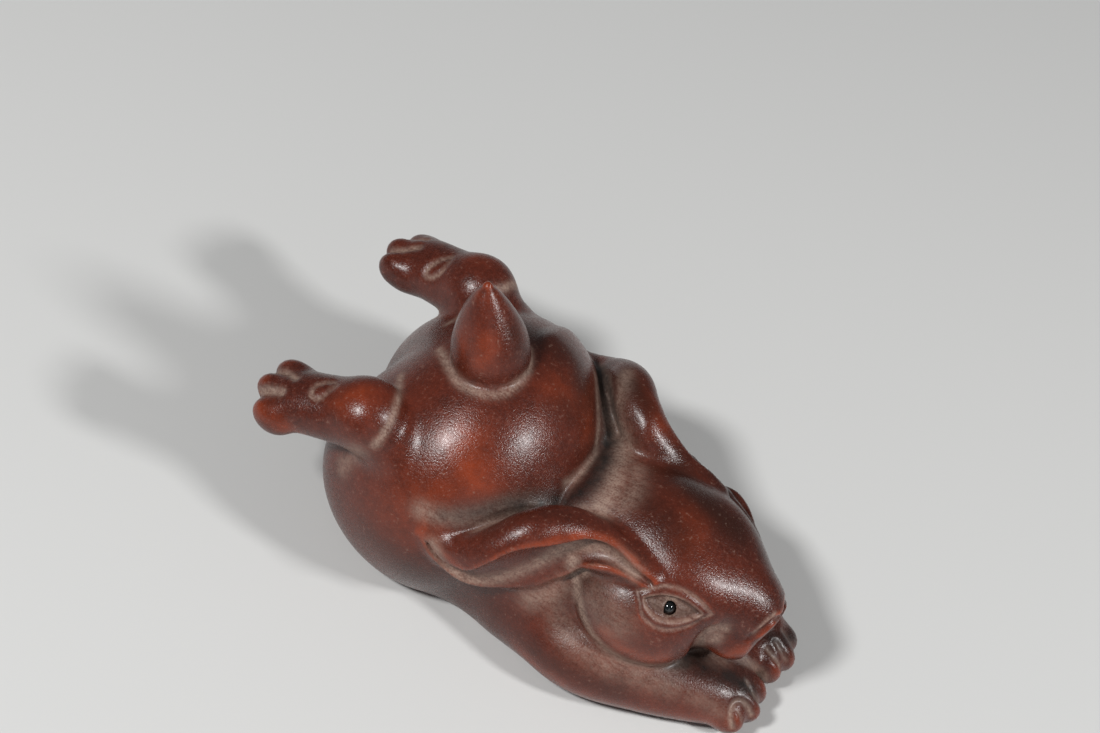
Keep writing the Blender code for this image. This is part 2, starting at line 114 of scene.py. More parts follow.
# Where along the curve each point is nearest: the best of short straight pieces, then one
# step along the curve's own slope.
def nearestOn(points, stations, steps):
    path = smoothPath(stations, steps)[:, :3]
    best = np.full(len(points), np.inf, np.float32)
    u = np.zeros(len(points), np.float32)
    for number, (start, end) in enumerate(zip(path[:-1], path[1:])):
        along = end - start
        t = np.clip(((points - start) @ along) / (along @ along), 0, 1)
        off = points - start - t[:, None] * along
        away = np.einsum("ij,ij->i", off, off)
        closer = away < best
        best[closer] = away[closer]
        u[closer] = number + t[closer]
    u /= steps
    place, slope = curveAt(stations, u)
    u += ((points - place[:, :3]) * slope).sum(1) / (slope * slope).sum(1)
    return np.clip(u, 0, len(stations) - 1)


# How limbs are measured: straight pieces to a span, how far off a limb still counts, and the
# distance that points beyond get, which is past any fillet.
limbs = {"steps": 4, "reach": 7, "beyond": 20.0}


# A limb: along its smooth path the section is an ellipse. Each station gives a place, half the
# width, half the thickness, and the way that the thickness faces.
def limb(points, form):
    stations = np.asarray(form["stations"], np.float32)
    found = np.full(len(points), limbs["beyond"], np.float32)
    path = smoothPath(stations, limbs["steps"])
    near = nearPath(points, path, stations[:, 3:5].max() + limbs["reach"])
    if not near.any():
        return found
    close = points[near]
    here, axis = curveAt(stations, nearestOn(close, stations, limbs["steps"]))
    axis = axis / np.linalg.norm(axis, axis=1)[:, None]
    off = close - here[:, :3]
    facing = here[:, 5:8] - (here[:, 5:8] * axis).sum(1)[:, None] * axis
    facing /= np.linalg.norm(facing, axis=1)[:, None]
    across = np.cross(axis, facing)
    wide, thick = here[:, 3], here[:, 4]
    end = np.minimum(wide, thick)
    x = (off * across).sum(1) / wide
    y = (off * facing).sum(1) / thick
    z = (off * axis).sum(1) / end
    k = np.sqrt(x * x + y * y + z * z)
    g = np.sqrt((x / wide) ** 2 + (y / thick) ** 2 + (z / end) ** 2) + tiny
    found[near] = k * (k - 1) / g
    return found


# Distance to a line through the stations, for what is pressed in or lies along it.
def lineDistance(points, stations, reach=4.0, steps=6):
    path = smoothPath(stations, steps)
    near = nearPath(points, path, reach)
    close = points[near]
    best = np.full(len(close), farOff, np.float32)
    for start, end in zip(path[:-1], path[1:]):
        along = end[:3] - start[:3]
        t = np.clip(((close - start[:3]) @ along) / (along @ along), 0, 1)[:, None]
        np.minimum(best, np.linalg.norm(close - start[:3] - t * along, axis=1), out=best)
    found = np.full(len(points), farOff, np.float32)
    found[near] = best
    return found


# Two forms as one, with a fillet as wide as reach: the smaller distance, less h h reach / 4.
# Here h is 1 where the two distances are equal, and 0 where they differ by reach or more.
def blend(first, second, reach):
    h = np.maximum(reach - np.abs(first - second), 0) / np.float32(reach)
    return np.minimum(first, second) - h * h * np.float32(reach * 0.25)


# The first form with the second scooped out: the space outside it is blended with the second.
def scooped(first, second, reach):
    return -blend(-first, second, reach)


# 0 before start, 1 after end, smooth between.
def eased(value, start, end):
    t = np.clip((value - start) / (end - start), 0, 1)
    return t * t * (3 - 2 * t)


# 1 at the middle, less on both sides: exp of minus the squared distance over the squared width.
def bell(value, middle, width):
    return np.exp(-(((value - middle) / width) ** 2))


# The points, with those of the right side mirrored to the left.
def onLeft(points):
    mirrored = points.copy()
    mirrored[:, 1] = np.abs(mirrored[:, 1])
    return mirrored


# Centres, radii and places are in millimetres: x to the nose, y to the left, z up. The right
# side mirrors the left. A station is a place, half the width, half the thickness, and a way.
rear = {
    "rump": {"centre": (-10.4, 0, 17.2), "radii": (21.0, 26.2, 25.4)},
    "haunch": {"centre": (-15.0, 10.0, 15.0), "radii": (19.3, 16.0, 19.0)},
    "haunchBlend": 6.0,
}
trunk = {
    "chest": {"centre": (11.5, 0, 5.0), "radii": (31.0, 21.0, 16.0)},
    "chestBlend": 5.0,
    "nape": {"centre": (6.0, 11.5, 14.5), "radii": (9.0, 9.0, 13.5)},
    "bib": {"centre": (36.0, 0, 6.8), "radii": (15.0, 7.5, 5.6)},
    "fillBlend": 4.0,
    "shoulder": {"centre": (14.5, 9.5, 12.0), "radii": (10.0, 10.8, 10.5)},
    "shoulderBlend": 4.0,
    "saddle": {"centre": (12.5, 0, 15.5), "radii": (9.0, 17.0, 14.8)},
    "saddleBlend": 7.0,
}
head = {
    "skull": {"centre": (27.5, 0, 19.5), "radii": (17.0, 15.0, 15.0), "turn": {"pitch": 12}},
    "muzzle": {"centre": (42.2, 0, 21.6), "radii": (9.9, 7.4, 7.9), "turn": {"pitch": 18}},
    "muzzleBlend": 5.5,
    "brow": {"centre": (35.4, 6.0, 26.0), "radii": (6.5, 4.4, 4.2), "turn": {"pitch": 24, "yaw": -16}},
    "browBlend": 5.0,
    "cheek": {"centre": (29.3, 11.4, 18.5), "radii": (11.6, 8.4, 9.8), "turn": {"pitch": 14, "yaw": -12}},
    "cheekBlend": 3.0,
    "lip": {"centre": (44.6, 4.4, 18.0), "radii": (4.8, 4.6, 4.4)},
    "lipBlend": 1.6,
    "chin": {"centre": (55.2, 0, 16.6), "radii": (6.5, 8.0, 8.2)},
    "chinBlend": 2.8,
    "neckBlend": 1.1,
}
foreleg = {
    "stations": [
        (10, 14.2, 7, 7.6, 7.6, 0, 0, 1),
        (23.5, 16.2, 6.8, 8.0, 8.0, 0, 0, 1),
        (35.0, 13.2, 6, 6.9, 6.9, 0, 0, 1),
        (45.5, 8.9, 5.4, 5.8, 5.8, 0, 0, 1),
        (49.4, 6.5, 4.9, 5.2, 5.0, 0, 0, 1),
    ],
    "blend": 2.4,
    "fingers": [(51.6, 2.9, 4.7), (52.4, 6.7, 4.8), (51.0, 10.4, 4.5)],
    "fingerRadii": (3.5, 2.35, 3.5),
    "fingerBlend": 1.1,
}
ear = {
    # Where the upper rim and the lower rim run, from the eye's outer corner back to the tip.
    "upper": [
        (29.6, 12.6, 29.8), (27.0, 12.8, 30.8), (22.2, 12.2, 31.6), (16.9, 13.4, 32.2),
        (13.0, 16.7, 32.2), (10.2, 20.4, 31.4), (7.8, 23.3, 28.4), (4.4, 25.6, 24.0),
        (0.6, 26.0, 21.6), (-4.0, 25.6, 21.4), (-7.8, 24.9, 24.0),
    ],
    "lower": [
        (29.6, 13.2, 28.7), (26.2, 14.2, 29.2), (20.9, 15.4, 29.4), (16.6, 16.6, 26.6),
        (13.6, 19.4, 21.6), (10.6, 21.7, 18.2), (7.2, 23.3, 16.8), (3.2, 25.2, 16.8),
        (-0.6, 26.2, 18.2), (-4.4, 26.0, 20.2), (-7.8, 25.2, 23.6),
    ],
    "thickness": [1.2, 2.0, 2.6, 3.0, 3.2, 3.2, 3.0, 2.8, 2.4, 1.8, 0.8],
    "rim": 0.9,
    "sink": 0.7,
    "back": [
        (28.0, 10.6, 28.0, 2.4), (22.0, 11.0, 28.6, 3.6), (15.6, 12.4, 29.6, 4.2),
        (11.3, 15.1, 30.6, 4.1), (8.1, 18.7, 30.2, 4.0), (5.5, 21.4, 27.4, 3.9),
        (2.4, 23.2, 24.4, 3.6), (-1.2, 23.8, 22.8, 3.0), (-4.6, 24.0, 22.8, 2.2),
        (-7.4, 24.4, 24.0, 1.1),
    ],
    "backBlend": 2.0,
    "leastHalfWidth": 0.3,
    "blend": 1.6,
    "hollow": [0.4, 1.0, 1.5, 2.0, 2.3, 2.4, 2.3, 2.0, 1.5, 0.9, 0.12],
    "hollowOut": 0.45,
    "lip": 0.35,
    "hollowBlend": 0.7,
}
hindFoot = {
    "stations": [
        (-20.5, 16.4, 29.4, 6.8, 6.0, -0.5, 0, 0.86),
        (-27.0, 18.1, 31.7, 6.4, 5.8, -0.5, 0, 0.86),
        (-34.4, 19.5, 29.8, 5.9, 5.2, -0.45, 0, 0.86),
        (-38.6, 20.0, 28.1, 6.2, 4.8, -0.45, 0, 0.86),
    ],
    "blend": 2.0,
    "heel": {"centre": (-26.0, 18.2, 34.2), "radii": (6.2, 6.2, 5.4)},
    "heelBlend": 2.2,
    "toes": [(-41.1, 16.2, 28.2), (-42.1, 20.4, 27.6), (-40.0, 24.5, 26.8)],
    "toeRadii": (4.0, 2.75, 3.3),
    "toeBlend": 1.2,
}
tail = {
    "stations": [
        (-13.0, 0, 37.4, 5.2, 5.2, 0, 1, 0),
        (-14.0, 0, 41.4, 6.8, 6.8, 0, 1, 0),
        (-15.4, 0, 45.8, 6.6, 6.6, 0, 1, 0),
        (-17.0, 0, 50.7, 4.9, 4.9, 0, 1, 0),
        (-18.0, 0, 54.5, 2.9, 2.9, 0, 1, 0),
        (-18.6, 0, 57.3, 0.9, 0.9, 0, 1, 0),
    ],
    "blend": 0.7,
}
# The clay's box stands over the origin, which lies halfway between the tips of the longest toe
# and the longest finger.
toeTip = min(place[0] for place in hindFoot["toes"]) - hindFoot["toeRadii"][0]
fingerTip = max(place[0] for place in foreleg["fingers"]) + foreleg["fingerRadii"][0]
shift = np.float32([-(toeTip + fingerTip) / 2, 0, 0])

# The eye's opening is measured from its edge inwards: above nought is inside, and a pair of
# numbers is where an effect begins and where it is whole.
eye = {
    "centre": (34.6, 12.6, 26.9),
    "outward": (0.27, 0.87, 0.41),
    "along": (1.0, -0.31, -0.04),
    "halfLength": 5.2,
    "lift": 1.7,
    "drop": 2.5,
    "dropPower": 0.75,
    "skew": 0.35,
    "acrossScale": 0.9,
    "alongScale": 0.8,
    "depth": 5,
    "farOutside": -9,
    "sink": 0.65,
    "sinkOver": (-0.1, 0.45),
    "bulge": 0.45,
    "bulgeOver": (0.2, 2.4),
    "lidRise": 0.22,
    "lidAt": -0.5,
    "lidWidth": 0.4,
    "lidLine": 0.22,
    "lineAt": -1.35,
    "lineWidth": 0.3,
    "socketBlend": 0.2,
}
# The glass bead in the eye, and the room that its socket leaves round it.
bead = {
    "radius": 1.15,
    "clearance": 0.3,
    "turns": 40,
    "rings": 24,
    "colour": (0.004, 0.006, 0.007),
    "roughness": 0.06,
    "coat": 0.5,
    "coatRoughness": 0.02,
}
# The socket lies round the frame's left bead, in the clay's own millimetres.
low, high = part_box("eye_bead_left")
socket = {
    "centre": tuple((a + b) / 2 / millimetre - c for a, b, c in zip(low, high, shift.tolist())),
    "radii": (bead["radius"] + bead["clearance"],) * 3,
}
# Lines pressed in on both sides of the face.
lines = {
    "mouth": {
        "stations": [
            (40.9, 9.4, 13.4), (40.9, 10.4, 16.2), (41.2, 10.7, 19.4), (42.4, 10.2, 22.2), (44.0, 8.8, 24.0),
        ],
        "depth": 1.5,
        "width": 1.15,
    },
    "nostril": {
        "stations": [(48.0, 6.2, 21.9), (49.0, 4.2, 23.6), (49.6, 2.2, 24.6), (50.2, 0.6, 24.2)],
        "depth": 0.7,
        "width": 0.55,
    },
}
undersideBlend = 0.8  # the fillet where the sides meet the flat underside


# The ear is a thick leaf between its two rims: the middle line, half the way across, and the way
# that its hollow faces, which is the way across crossed with the way along.
def earSurface(sunk, trimmed, thickness):
    upper, lower = np.array(ear["upper"]), np.array(ear["lower"])
    across = upper - lower
    half = np.linalg.norm(across, axis=1) / 2
    middle = (upper + lower) / 2
    along = np.gradient(middle, axis=0)
    facing = np.cross(across, along)
    facing *= np.sign(facing[:, 1:2])
    facing /= np.linalg.norm(facing, axis=1)[:, None]
    thick = np.array(thickness, float)
    place = middle - facing * (thick * sunk)[:, None]
    wide = np.maximum(half + trimmed, ear["leastHalfWidth"])
    return {"stations": np.column_stack([place, wide, thick, facing])}


# Where a point is beside the eye: along it, up from the line of its corners, and out of the head.
def eyeAxes(points):
    outward = np.array(eye["outward"]) / np.linalg.norm(eye["outward"])
    along = np.array(eye["along"]) - outward * np.dot(eye["along"], outward)
    along /= np.linalg.norm(along)
    up = np.cross(along, outward)
    up *= np.sign(up[2])
    local = points - np.float32(eye["centre"])
    return [local @ axis.astype(np.float32) for axis in (along, up, outward)]


# How far inside the eye's opening a point is. The opening lies between two bows that meet at the
# corners: a bow is 1 less the squared way along over the squared half length.
def insideEye(points):
    a, b, c = eyeAxes(points)
    bow = np.clip(1 - (a / eye["halfLength"]) ** 2, -1, 1)
    top = eye["lift"] * bow
    lowBow = np.clip(1 - ((a + eye["skew"] * bow) / eye["halfLength"]) ** 2, -1, 1)
    low = -eye["drop"] * np.sign(lowBow) * np.abs(lowBow) ** eye["dropPower"]
    inside = np.minimum(top - b, b - low) * eye["acrossScale"]
    inside = np.minimum(inside, (eye["halfLength"] - np.abs(a)) * eye["alongScale"])
    return np.where(np.abs(c) < eye["depth"], inside, eye["farOutside"])


# The form with like lobes, such as toes, blended on one after the other.
def withLobes(field, points, centres, radii, reach):
    for centre in centres:
        field = blend(field, egg(points, {"centre": centre, "radii": radii}), reach)
    return field


# Rump, haunches, chest, shoulders, the fill at the nape and under the chin, and the forelegs.
def bodyField(points):
    field = blend(egg(points, rear["rump"]), egg(points, rear["haunch"]), rear["haunchBlend"])
    field = blend(field, egg(points, trunk["chest"]), trunk["chestBlend"])
    field = blend(field, egg(points, trunk["shoulder"]), trunk["shoulderBlend"])
    field = blend(field, egg(points, trunk["nape"]), trunk["fillBlend"])
    field = blend(field, egg(points, trunk["bib"]), trunk["fillBlend"])
    field = blend(field, limb(points, foreleg), foreleg["blend"])
    return withLobes(field, points, foreleg["fingers"], foreleg["fingerRadii"], foreleg["fingerBlend"])


# Skull, muzzle, brows, the saddle behind the head, lips and cheeks, less the scoop at the chin.
def faceField(points):
    face = blend(egg(points, head["skull"]), egg(points, head["muzzle"]), head["muzzleBlend"])
    face = blend(face, egg(points, head["brow"]), head["browBlend"])
    face = blend(face, egg(points, trunk["saddle"]), trunk["saddleBlend"])
    face = blend(face, egg(points, head["lip"]), head["lipBlend"])
    face = blend(face, egg(points, head["cheek"]), head["cheekBlend"])
    return scooped(face, egg(points, head["chin"]), head["chinBlend"])


# The ear's leaf with the thick fold along its back, whose sections are round.
def earField(points):
    back = np.array([station + (station[3], 0, 1, 0) for station in ear["back"]])
    leaf = limb(points, earSurface(ear["sink"], ear["rim"], ear["thickness"]))
    return blend(leaf, limb(points, {"stations": back}), ear["backBlend"])


# The hind foot with its heel and toes.
def footField(points):
    foot = blend(limb(points, hindFoot), egg(points, hindFoot["heel"]), hindFoot["heelBlend"])
    return withLobes(foot, points, hindFoot["toes"], hindFoot["toeRadii"], hindFoot["toeBlend"])


# The eye: sunk inside its opening, swelling again to its middle, with a raised lid, a line round
# the lid, and the socket of the bead.
def withEye(field, points):
    inside = insideEye(points)
    field = field + eye["sink"] * eased(inside, *eye["sinkOver"])
    field = field - eye["bulge"] * eased(inside, *eye["bulgeOver"])
    field = field - eye["lidRise"] * bell(inside, eye["lidAt"], eye["lidWidth"])
    field = field + eye["lidLine"] * bell(inside, eye["lineAt"], eye["lineWidth"])
    return scooped(field, egg(points, socket), eye["socketBlend"])


# The distance to the whole rabbit, below nought inside the clay. The flat underside comes last.
def rabbitField(points):
    left = onLeft(points)
    field = blend(bodyField(left), faceField(left), head["neckBlend"])
    field = blend(field, earField(left), ear["blend"])
    hollow = limb(left, earSurface(-ear["hollowOut"], -ear["lip"], ear["hollow"]))
    field = scooped(field, hollow, ear["hollowBlend"])
    field = blend(field, footField(left), hindFoot["blend"])
    field = blend(field, limb(left, tail), tail["blend"])
    field = withEye(field, left)
    for line in lines.values():
        field = field + line["depth"] * bell(lineDistance(left, line["stations"]), 0, line["width"])
    return scooped(field, left[:, 2], undersideBlend)


# How fine the clay's skin is: the step, in millimetres, is short at the face and longer at the
# rump. The grid is worked out in blocks, and a block counts as near within margin times its half
# diagonal plus slack. The skin is pulled on to the form a few times, each time by a short way.
skin = {
    "faceStep": 0.40,
    "rumpStep": 0.635,
    "finestFrom": 118,
    "coarseUntil": 40,
    "columns": 232,
    "rows": 68,
    "layers": 100,
    "startX": -50.0,
    "below": 4,
    "block": 4,
    "margin": 1.15,
    "slack": 1.6,
    "background": 3.0,
    "pulls": 3,
    "longestPull": 0.3,
}


# The places that grid numbers stand for: x adds up the steps, y and z are the numbers times the
# step there.
def gridPlaces(column, row, layer):
    number = np.arange(skin["columns"] + 1)
    change = eased(number, skin["coarseUntil"], skin["finestFrom"])
    step = skin["rumpStep"] + (skin["faceStep"] - skin["rumpStep"]) * change
    x = skin["startX"] + np.cumsum(step) - step[0]
    here = np.interp(column, number, step)
    places = [np.interp(column, number, x), row * here, (layer - skin["below"]) * here]
    return np.stack(places, axis=-1).astype(np.float32)


# The field on the left half of the grid. A block far from the skin takes the value at its middle.
def fieldOnGrid():
    size = skin["block"]
    blocks = [skin[name] // size for name in ("columns", "rows", "layers")]
    middles = np.stack(np.meshgrid(*[np.arange(n) for n in blocks], indexing="ij"), -1).reshape(-1, 3)
    middlePlaces = gridPlaces(*(middles * size + (size - 1) / 2).T)
    rough = rabbitField(middlePlaces)
    corner = gridPlaces(*(middles * size).T)
    halfDiagonal = np.linalg.norm(middlePlaces - corner, axis=1)
    near = np.abs(rough) < skin["margin"] * halfDiagonal + skin["slack"]
    inBlock = np.stack(np.meshgrid(*[np.arange(size)] * 3, indexing="ij"), -1).reshape(1, -1, 3)
    fine = (middles[near][:, None] * size + inBlock).reshape(-1, 3)
    field = np.repeat(rough[:, None], size**3, axis=1)
    field[near] = rabbitField(gridPlaces(*fine.T)).reshape(-1, size**3)
    shaped = field.reshape(*blocks, size, size, size).transpose(0, 3, 1, 4, 2, 5)
    return shaped.reshape([n * size for n in blocks])


# The slope of the field, from the difference over twice reach along each axis, and how much it
# bends: the sum of the second differences.
def slopeAndBend(points, reach):
    ways = np.float32(np.eye(3) * reach)
    ahead = [rabbitField(points + way) for way in ways]
    behind = [rabbitField(points - way) for way in ways]
    slope = np.stack([a - b for a, b in zip(ahead, behind)], -1) / (2 * reach)
    bend = (sum(ahead) + sum(behind) - 6 * rabbitField(points)) / reach**2
    return slope, bend


# Each point's normal is the sum of the crossed diagonals of the faces round it.
def meshNormals(points, quads):
    corners = points[quads]
    across = np.cross(corners[:, 2] - corners[:, 0], corners[:, 3] - corners[:, 1])
    total = np.zeros((len(points), 3))
    for axis in range(3):
        total[:, axis] = np.bincount(quads.ravel(), np.repeat(across[:, axis], 4), len(points))
    return (total / np.maximum(np.linalg.norm(total, axis=1), tiny)[:, None]).astype(np.float32)


# The skin is where the field is nought. Each point is then pulled along its normal by the field's
# value there.
def clayPoints():
    half = fieldOnGrid()
    whole = np.concatenate([half[:, :0:-1], half], axis=1)
    grid = openvdb.FloatGrid(skin["background"])
    grid.copyFromArray(np.ascontiguousarray(whole, np.float32))
    numbers, quads = grid.convertToQuads(0.0)
    points = gridPlaces(numbers[:, 0], numbers[:, 1] - (half.shape[1] - 1), numbers[:, 2])
    normals = meshNormals(points, quads)
    if ((points - points.mean(0)) * normals).sum() < 0:
        quads = quads[:, ::-1]
        normals = -normals
    most = skin["longestPull"]
    for _ in range(skin["pulls"]):
        points = points - normals * np.clip(rabbitField(points), -most, most)[:, None]
    return points, quads


points, quads = clayPoints()
print("clay skin:", len(points), "points,", 2 * len(quads), "triangles")

# How dust, wear, the red of sharp edges (wear and painted highlight) and the darker inside of the eyes
# are worked out. A pair of numbers is where an effect begins and where it is whole, and closedWays
# holds ways out of the clay in millimetres, each with its share.
weathering = {
    "closedWays": [(0.7, 0.30), (1.8, 0.35), (4.0, 0.35)],
    "markReach": 3,
    "markSteps": 4,
    "slopeReach": 0.9,
    "foldDust": 0.85,
    "foldDustOver": (0.28, 0.76),
    "carvedDust": 2.2,
    "mostCarvedDust": 0.9,
    "lidDust": 0.75,
    "lidDustAt": -0.05,
    "lidDustWidth": 0.3,
    "lidLineShare": 0.8,
    "eyeDust": 0.35,
    "eyeDustOver": (0.1, 0.8),
    # Sharp bends turn red: rubbed wear, and painted highlight on the rims, so less on the far side.
    "edgeWearAndHighlight": 0.85,
    "edgeWearAndHighlightOver": (0.34, 1.05),
    "farSideOver": (4, 9),
    "lessEdgeRedFarSide": 0.8,
    "lessWearUnderDust": 0.7,
    "unwornOver": (-2.2, -1.4),
    # Darker inside the eyes.
    "eyeDarkening": 0.75,
    "eyeDarkeningOver": (0.0, 0.6),
}


# How closed in each point is: 1 less the field's value a way off along the normal over that way,
# times the way's share, added up.
def closedIn(points, normals):
    shut = np.zeros(len(points), np.float32)
    for way, share in weathering["closedWays"]:
        reached = rabbitField(points + normals * np.float32(way)) / way
        shut += share * np.clip(1 - reached, 0, 1)
    return shut


# Marks along lines: for each the strength times the bell of the distance, and the highest kept.
def marks(points, strokes):
    found = np.zeros(len(points), np.float32)
    for stroke in strokes.values():
        where = onLeft(points) if stroke.get("both") else points
        reach = weathering["markReach"] * stroke["radius"]
        away = lineDistance(where, stroke["along"], reach, weathering["markSteps"])
        found = np.maximum(found, stroke["strength"] * bell(away, 0, stroke["radius"]))
    return found


# Pressed in along lines, besides the mouth and nostrils. Above nought y is the far side, and
# strokes that say both are on both sides.
carvings = {
    "nearFootLoop": {
        "along": [
            (-33.5, -18.2, 36.1), (-34.9, -18.7, 35.2), (-35.8, -20.6, 34.5),
            (-35.1, -22.2, 34.4), (-33.7, -22.0, 34.9), (-33.0, -20.6, 35.6),
            (-32.6, -18.9, 36.3),
        ],
        "radius": 0.42, "strength": 0.40,
    },
    "farFootLoop": {
        "along": [
            (-33.2, 19.0, 36.1), (-34.7, 17.7, 35.2), (-35.7, 15.8, 33.7), (-35.5, 14.6, 32.9),
            (-34.0, 14.5, 33.7), (-33.0, 15.6, 35.2), (-32.7, 17.8, 36.0),
        ],
        "radius": 0.42, "strength": 0.40,
    },
    "outerToeLine": {
        "along": [(-44.9, 22.4, 27.2), (-43.0, 22.7, 29.7), (-40.4, 22.9, 31.8)],
        "radius": 0.7, "strength": 0.7, "both": True,
    },
    "innerToeLine": {
        "along": [(-44.6, 18.2, 29.0), (-42.4, 18.4, 31.2), (-39.9, 19.6, 32.7)],
        "radius": 0.6, "strength": 0.5, "both": True,
    },
    "nearInnerFinger": {
        "along": [(51.2, -5.0, 9.4), (52.6, -5.5, 8.8), (54.2, -5.6, 7.6), (55.4, -5.2, 5.6)],
        "radius": 0.55, "strength": 0.6,
    },
    "nearFingerLoop": {
        "along": [
            (53.4, -12.2, 4.9), (52.4, -12.0, 6.6), (51.5, -11.2, 7.9), (51.4, -9.8, 8.7),
            (52.3, -8.6, 8.6), (53.7, -8.3, 7.5), (54.9, -8.2, 5.8),
        ],
        "radius": 0.5, "strength": 0.45,
    },
    "lineInFingerLoop": {
        "along": [(52.0, -10.4, 8.2), (53.2, -10.3, 7.4), (54.0, -10.3, 6.2)],
        "radius": 0.35, "strength": 0.3,
    },
    "farInnerFinger": {
        "along": [(50.9, 3.6, 9.0), (52.6, 3.4, 8.3), (54.4, 3.6, 6.8)],
        "radius": 0.5, "strength": 0.45,
    },
    "farMiddleFinger": {
        "along": [(51.4, 5.6, 9.4), (53.2, 5.2, 8.6), (55.0, 5.0, 6.8)],
        "radius": 0.5, "strength": 0.45,
    },
    "farOuterFinger": {
        "along": [(51.0, 8.7, 8.8), (52.8, 8.8, 7.8), (54.0, 8.9, 6.0)],
        "radius": 0.5, "strength": 0.4,
    },
}
# Where pale dust lies: round the folds, and in broad patches on the neck, flank and forearm.
dusty = {
    "foldAboveFoot": {
        "along": [
            (-26.0, 7.5, 33.2), (-25.0, 10.5, 34.6), (-22.3, 15.7, 38.1), (-21.3, 18.7, 37.8),
            (-20.9, 20.8, 36.7), (-21.2, 23.4, 33.6),
        ],
        "radius": 0.8, "strength": 0.85, "both": True,
    },
    "foldOutsideFoot": {
        "along": [(-23.6, 24.6, 31.2), (-25.4, 22.6, 27.0), (-26.5, 22.3, 21.8)],
        "radius": 1.9, "strength": 0.6, "both": True,
    },
    "roundTail": {
        "along": [
            (-23.2, -1.4, 37.6), (-21.5, -3.0, 38.8), (-18.7, -5.8, 40.2), (-15.9, -7.6, 40.8),
            (-12.7, -8.0, 41.6), (-9.7, -7.0, 42.1), (-7.8, -4.6, 42.5), (-7.2, -1.4, 42.8),
            (-7.8, 2.0, 42.6), (-10.0, 5.8, 42.4),
        ],
        "radius": 0.85, "strength": 0.9,
    },
    "neckLine": {
        "along": [
            (1.5, 16.2, 31.2), (4.6, 11.8, 31.0), (6.9, 7.7, 29.8), (8.2, 4.0, 28.9),
            (8.6, -0.9, 29.4), (7.6, -5.1, 29.6),
        ],
        "radius": 1.0, "strength": 0.75,
    },
    "behindFarEar": {
        "along": [(5.4, 18.3, 33.9), (7.2, 14.2, 33.2), (9.2, 11.1, 29.9)],
        "radius": 1.8, "strength": 0.6,
    },
    "neckHollow": {
        "along": [
            (9.6, 11.4, 29.4), (11.6, 7.6, 29.2), (13.0, 2.0, 31.0), (14.6, -2.6, 31.6),
            (14.8, -6.0, 31.0),
        ],
        "radius": 2.7, "strength": 0.85,
    },
    "backOfHead": {
        "along": [(16.0, 4.0, 32.0), (18.0, -1.0, 32.8), (17.6, -4.6, 32.2)],
        "radius": 2.4, "strength": 0.45,
    },
    "behindNearEar": {
        "along": [
            (13.6, -6.6, 31.0), (10.6, -9.6, 30.4), (6.2, -13.0, 31.0), (2.0, -17.0, 30.4),
            (-2.6, -21.4, 28.4), (-7.0, -23.8, 27.5), (-9.4, -24.4, 27.2),
        ],
        "radius": 1.8, "strength": 0.72,
    },
    "underCheek": {
        "along": [
            (16.2, 15.5, 26.4), (17.5, 15.1, 22.4), (19.1, 16.4, 20.8), (21.1, 18.1, 19.6),
            (23.6, 19.3, 17.6), (26.9, 19.8, 15.6), (30.7, 19.2, 14.2), (34.5, 17.9, 13.6),
            (38.1, 15.3, 13.4), (40.7, 9.6, 12.6),
        ],
        "radius": 1.5, "strength": 0.9, "both": True,
    },
    "forearmTop": {
        "along": [
            (16.5, -18.0, 18.6), (18.6, -19.4, 15.2), (23.0, -20.6, 13.2), (29.0, -20.4, 12.4),
            (35.0, -18.0, 11.6), (41.0, -15.4, 10.6),
        ],
        "radius": 2.6, "strength": 0.4,
    },
    "cheekSide": {
        "along": [(23.5, -17.6, 23.6), (28.0, -18.8, 22.4)],
        "radius": 4.0, "strength": 0.4,
    },
    "wrist": {
        "along": [(44.5, -14.2, 9.8), (47.5, -13.2, 8.8), (50.0, -12.4, 7.6)],
        "radius": 1.8, "strength": 0.35,
    },
    "foldBehindCheek": {
        "along": [(12.9, -20.0, 16.0), (16.0, -18.6, 18.6), (17.2, -16.7, 21.6)],
        "radius": 2.4, "strength": 0.6,
    },
    "nearEarHollow": {
        "along": [
            (-5.0, -26.4, 23.0), (-0.7, -26.0, 19.4), (3.0, -25.0, 18.4), (7.1, -22.3, 20.0),
            (10.6, -19.5, 23.5), (13.7, -16.1, 27.3), (17.6, -13.5, 29.8), (22.1, -12.9, 30.5),
            (26.4, -13.1, 29.8),
        ],
        "radius": 1.5, "strength": 0.75,
    },
    "mouthCorner": {
        "along": [
            (41.3, 9.4, 14.0), (41.3, 9.6, 17.1), (41.3, 9.8, 20.5), (42.1, 9.1, 22.7),
            (43.8, 8.3, 23.2),
        ],
        "radius": 1.0, "strength": 0.95, "both": True,
    },
    "besideMouth": {
        "along": [(42.7, -9.2, 19.4), (43.2, -8.8, 21.0)],
        "radius": 1.2, "strength": 0.7,
    },
    "nostril": {
        "along": [(48.3, -5.4, 22.9), (48.7, -4.4, 24.4), (49.1, -3.2, 25.5), (49.5, -1.8, 25.9)],
        "radius": 0.45, "strength": 0.8,
    },
    "betweenPaws": {
        "along": [(47.0, -2.6, 10.6), (49.0, -1.6, 9.4), (51.4, -0.2, 7.0), (53.6, 0.4, 4.6)],
        "radius": 0.9, "strength": 0.85,
    },
}
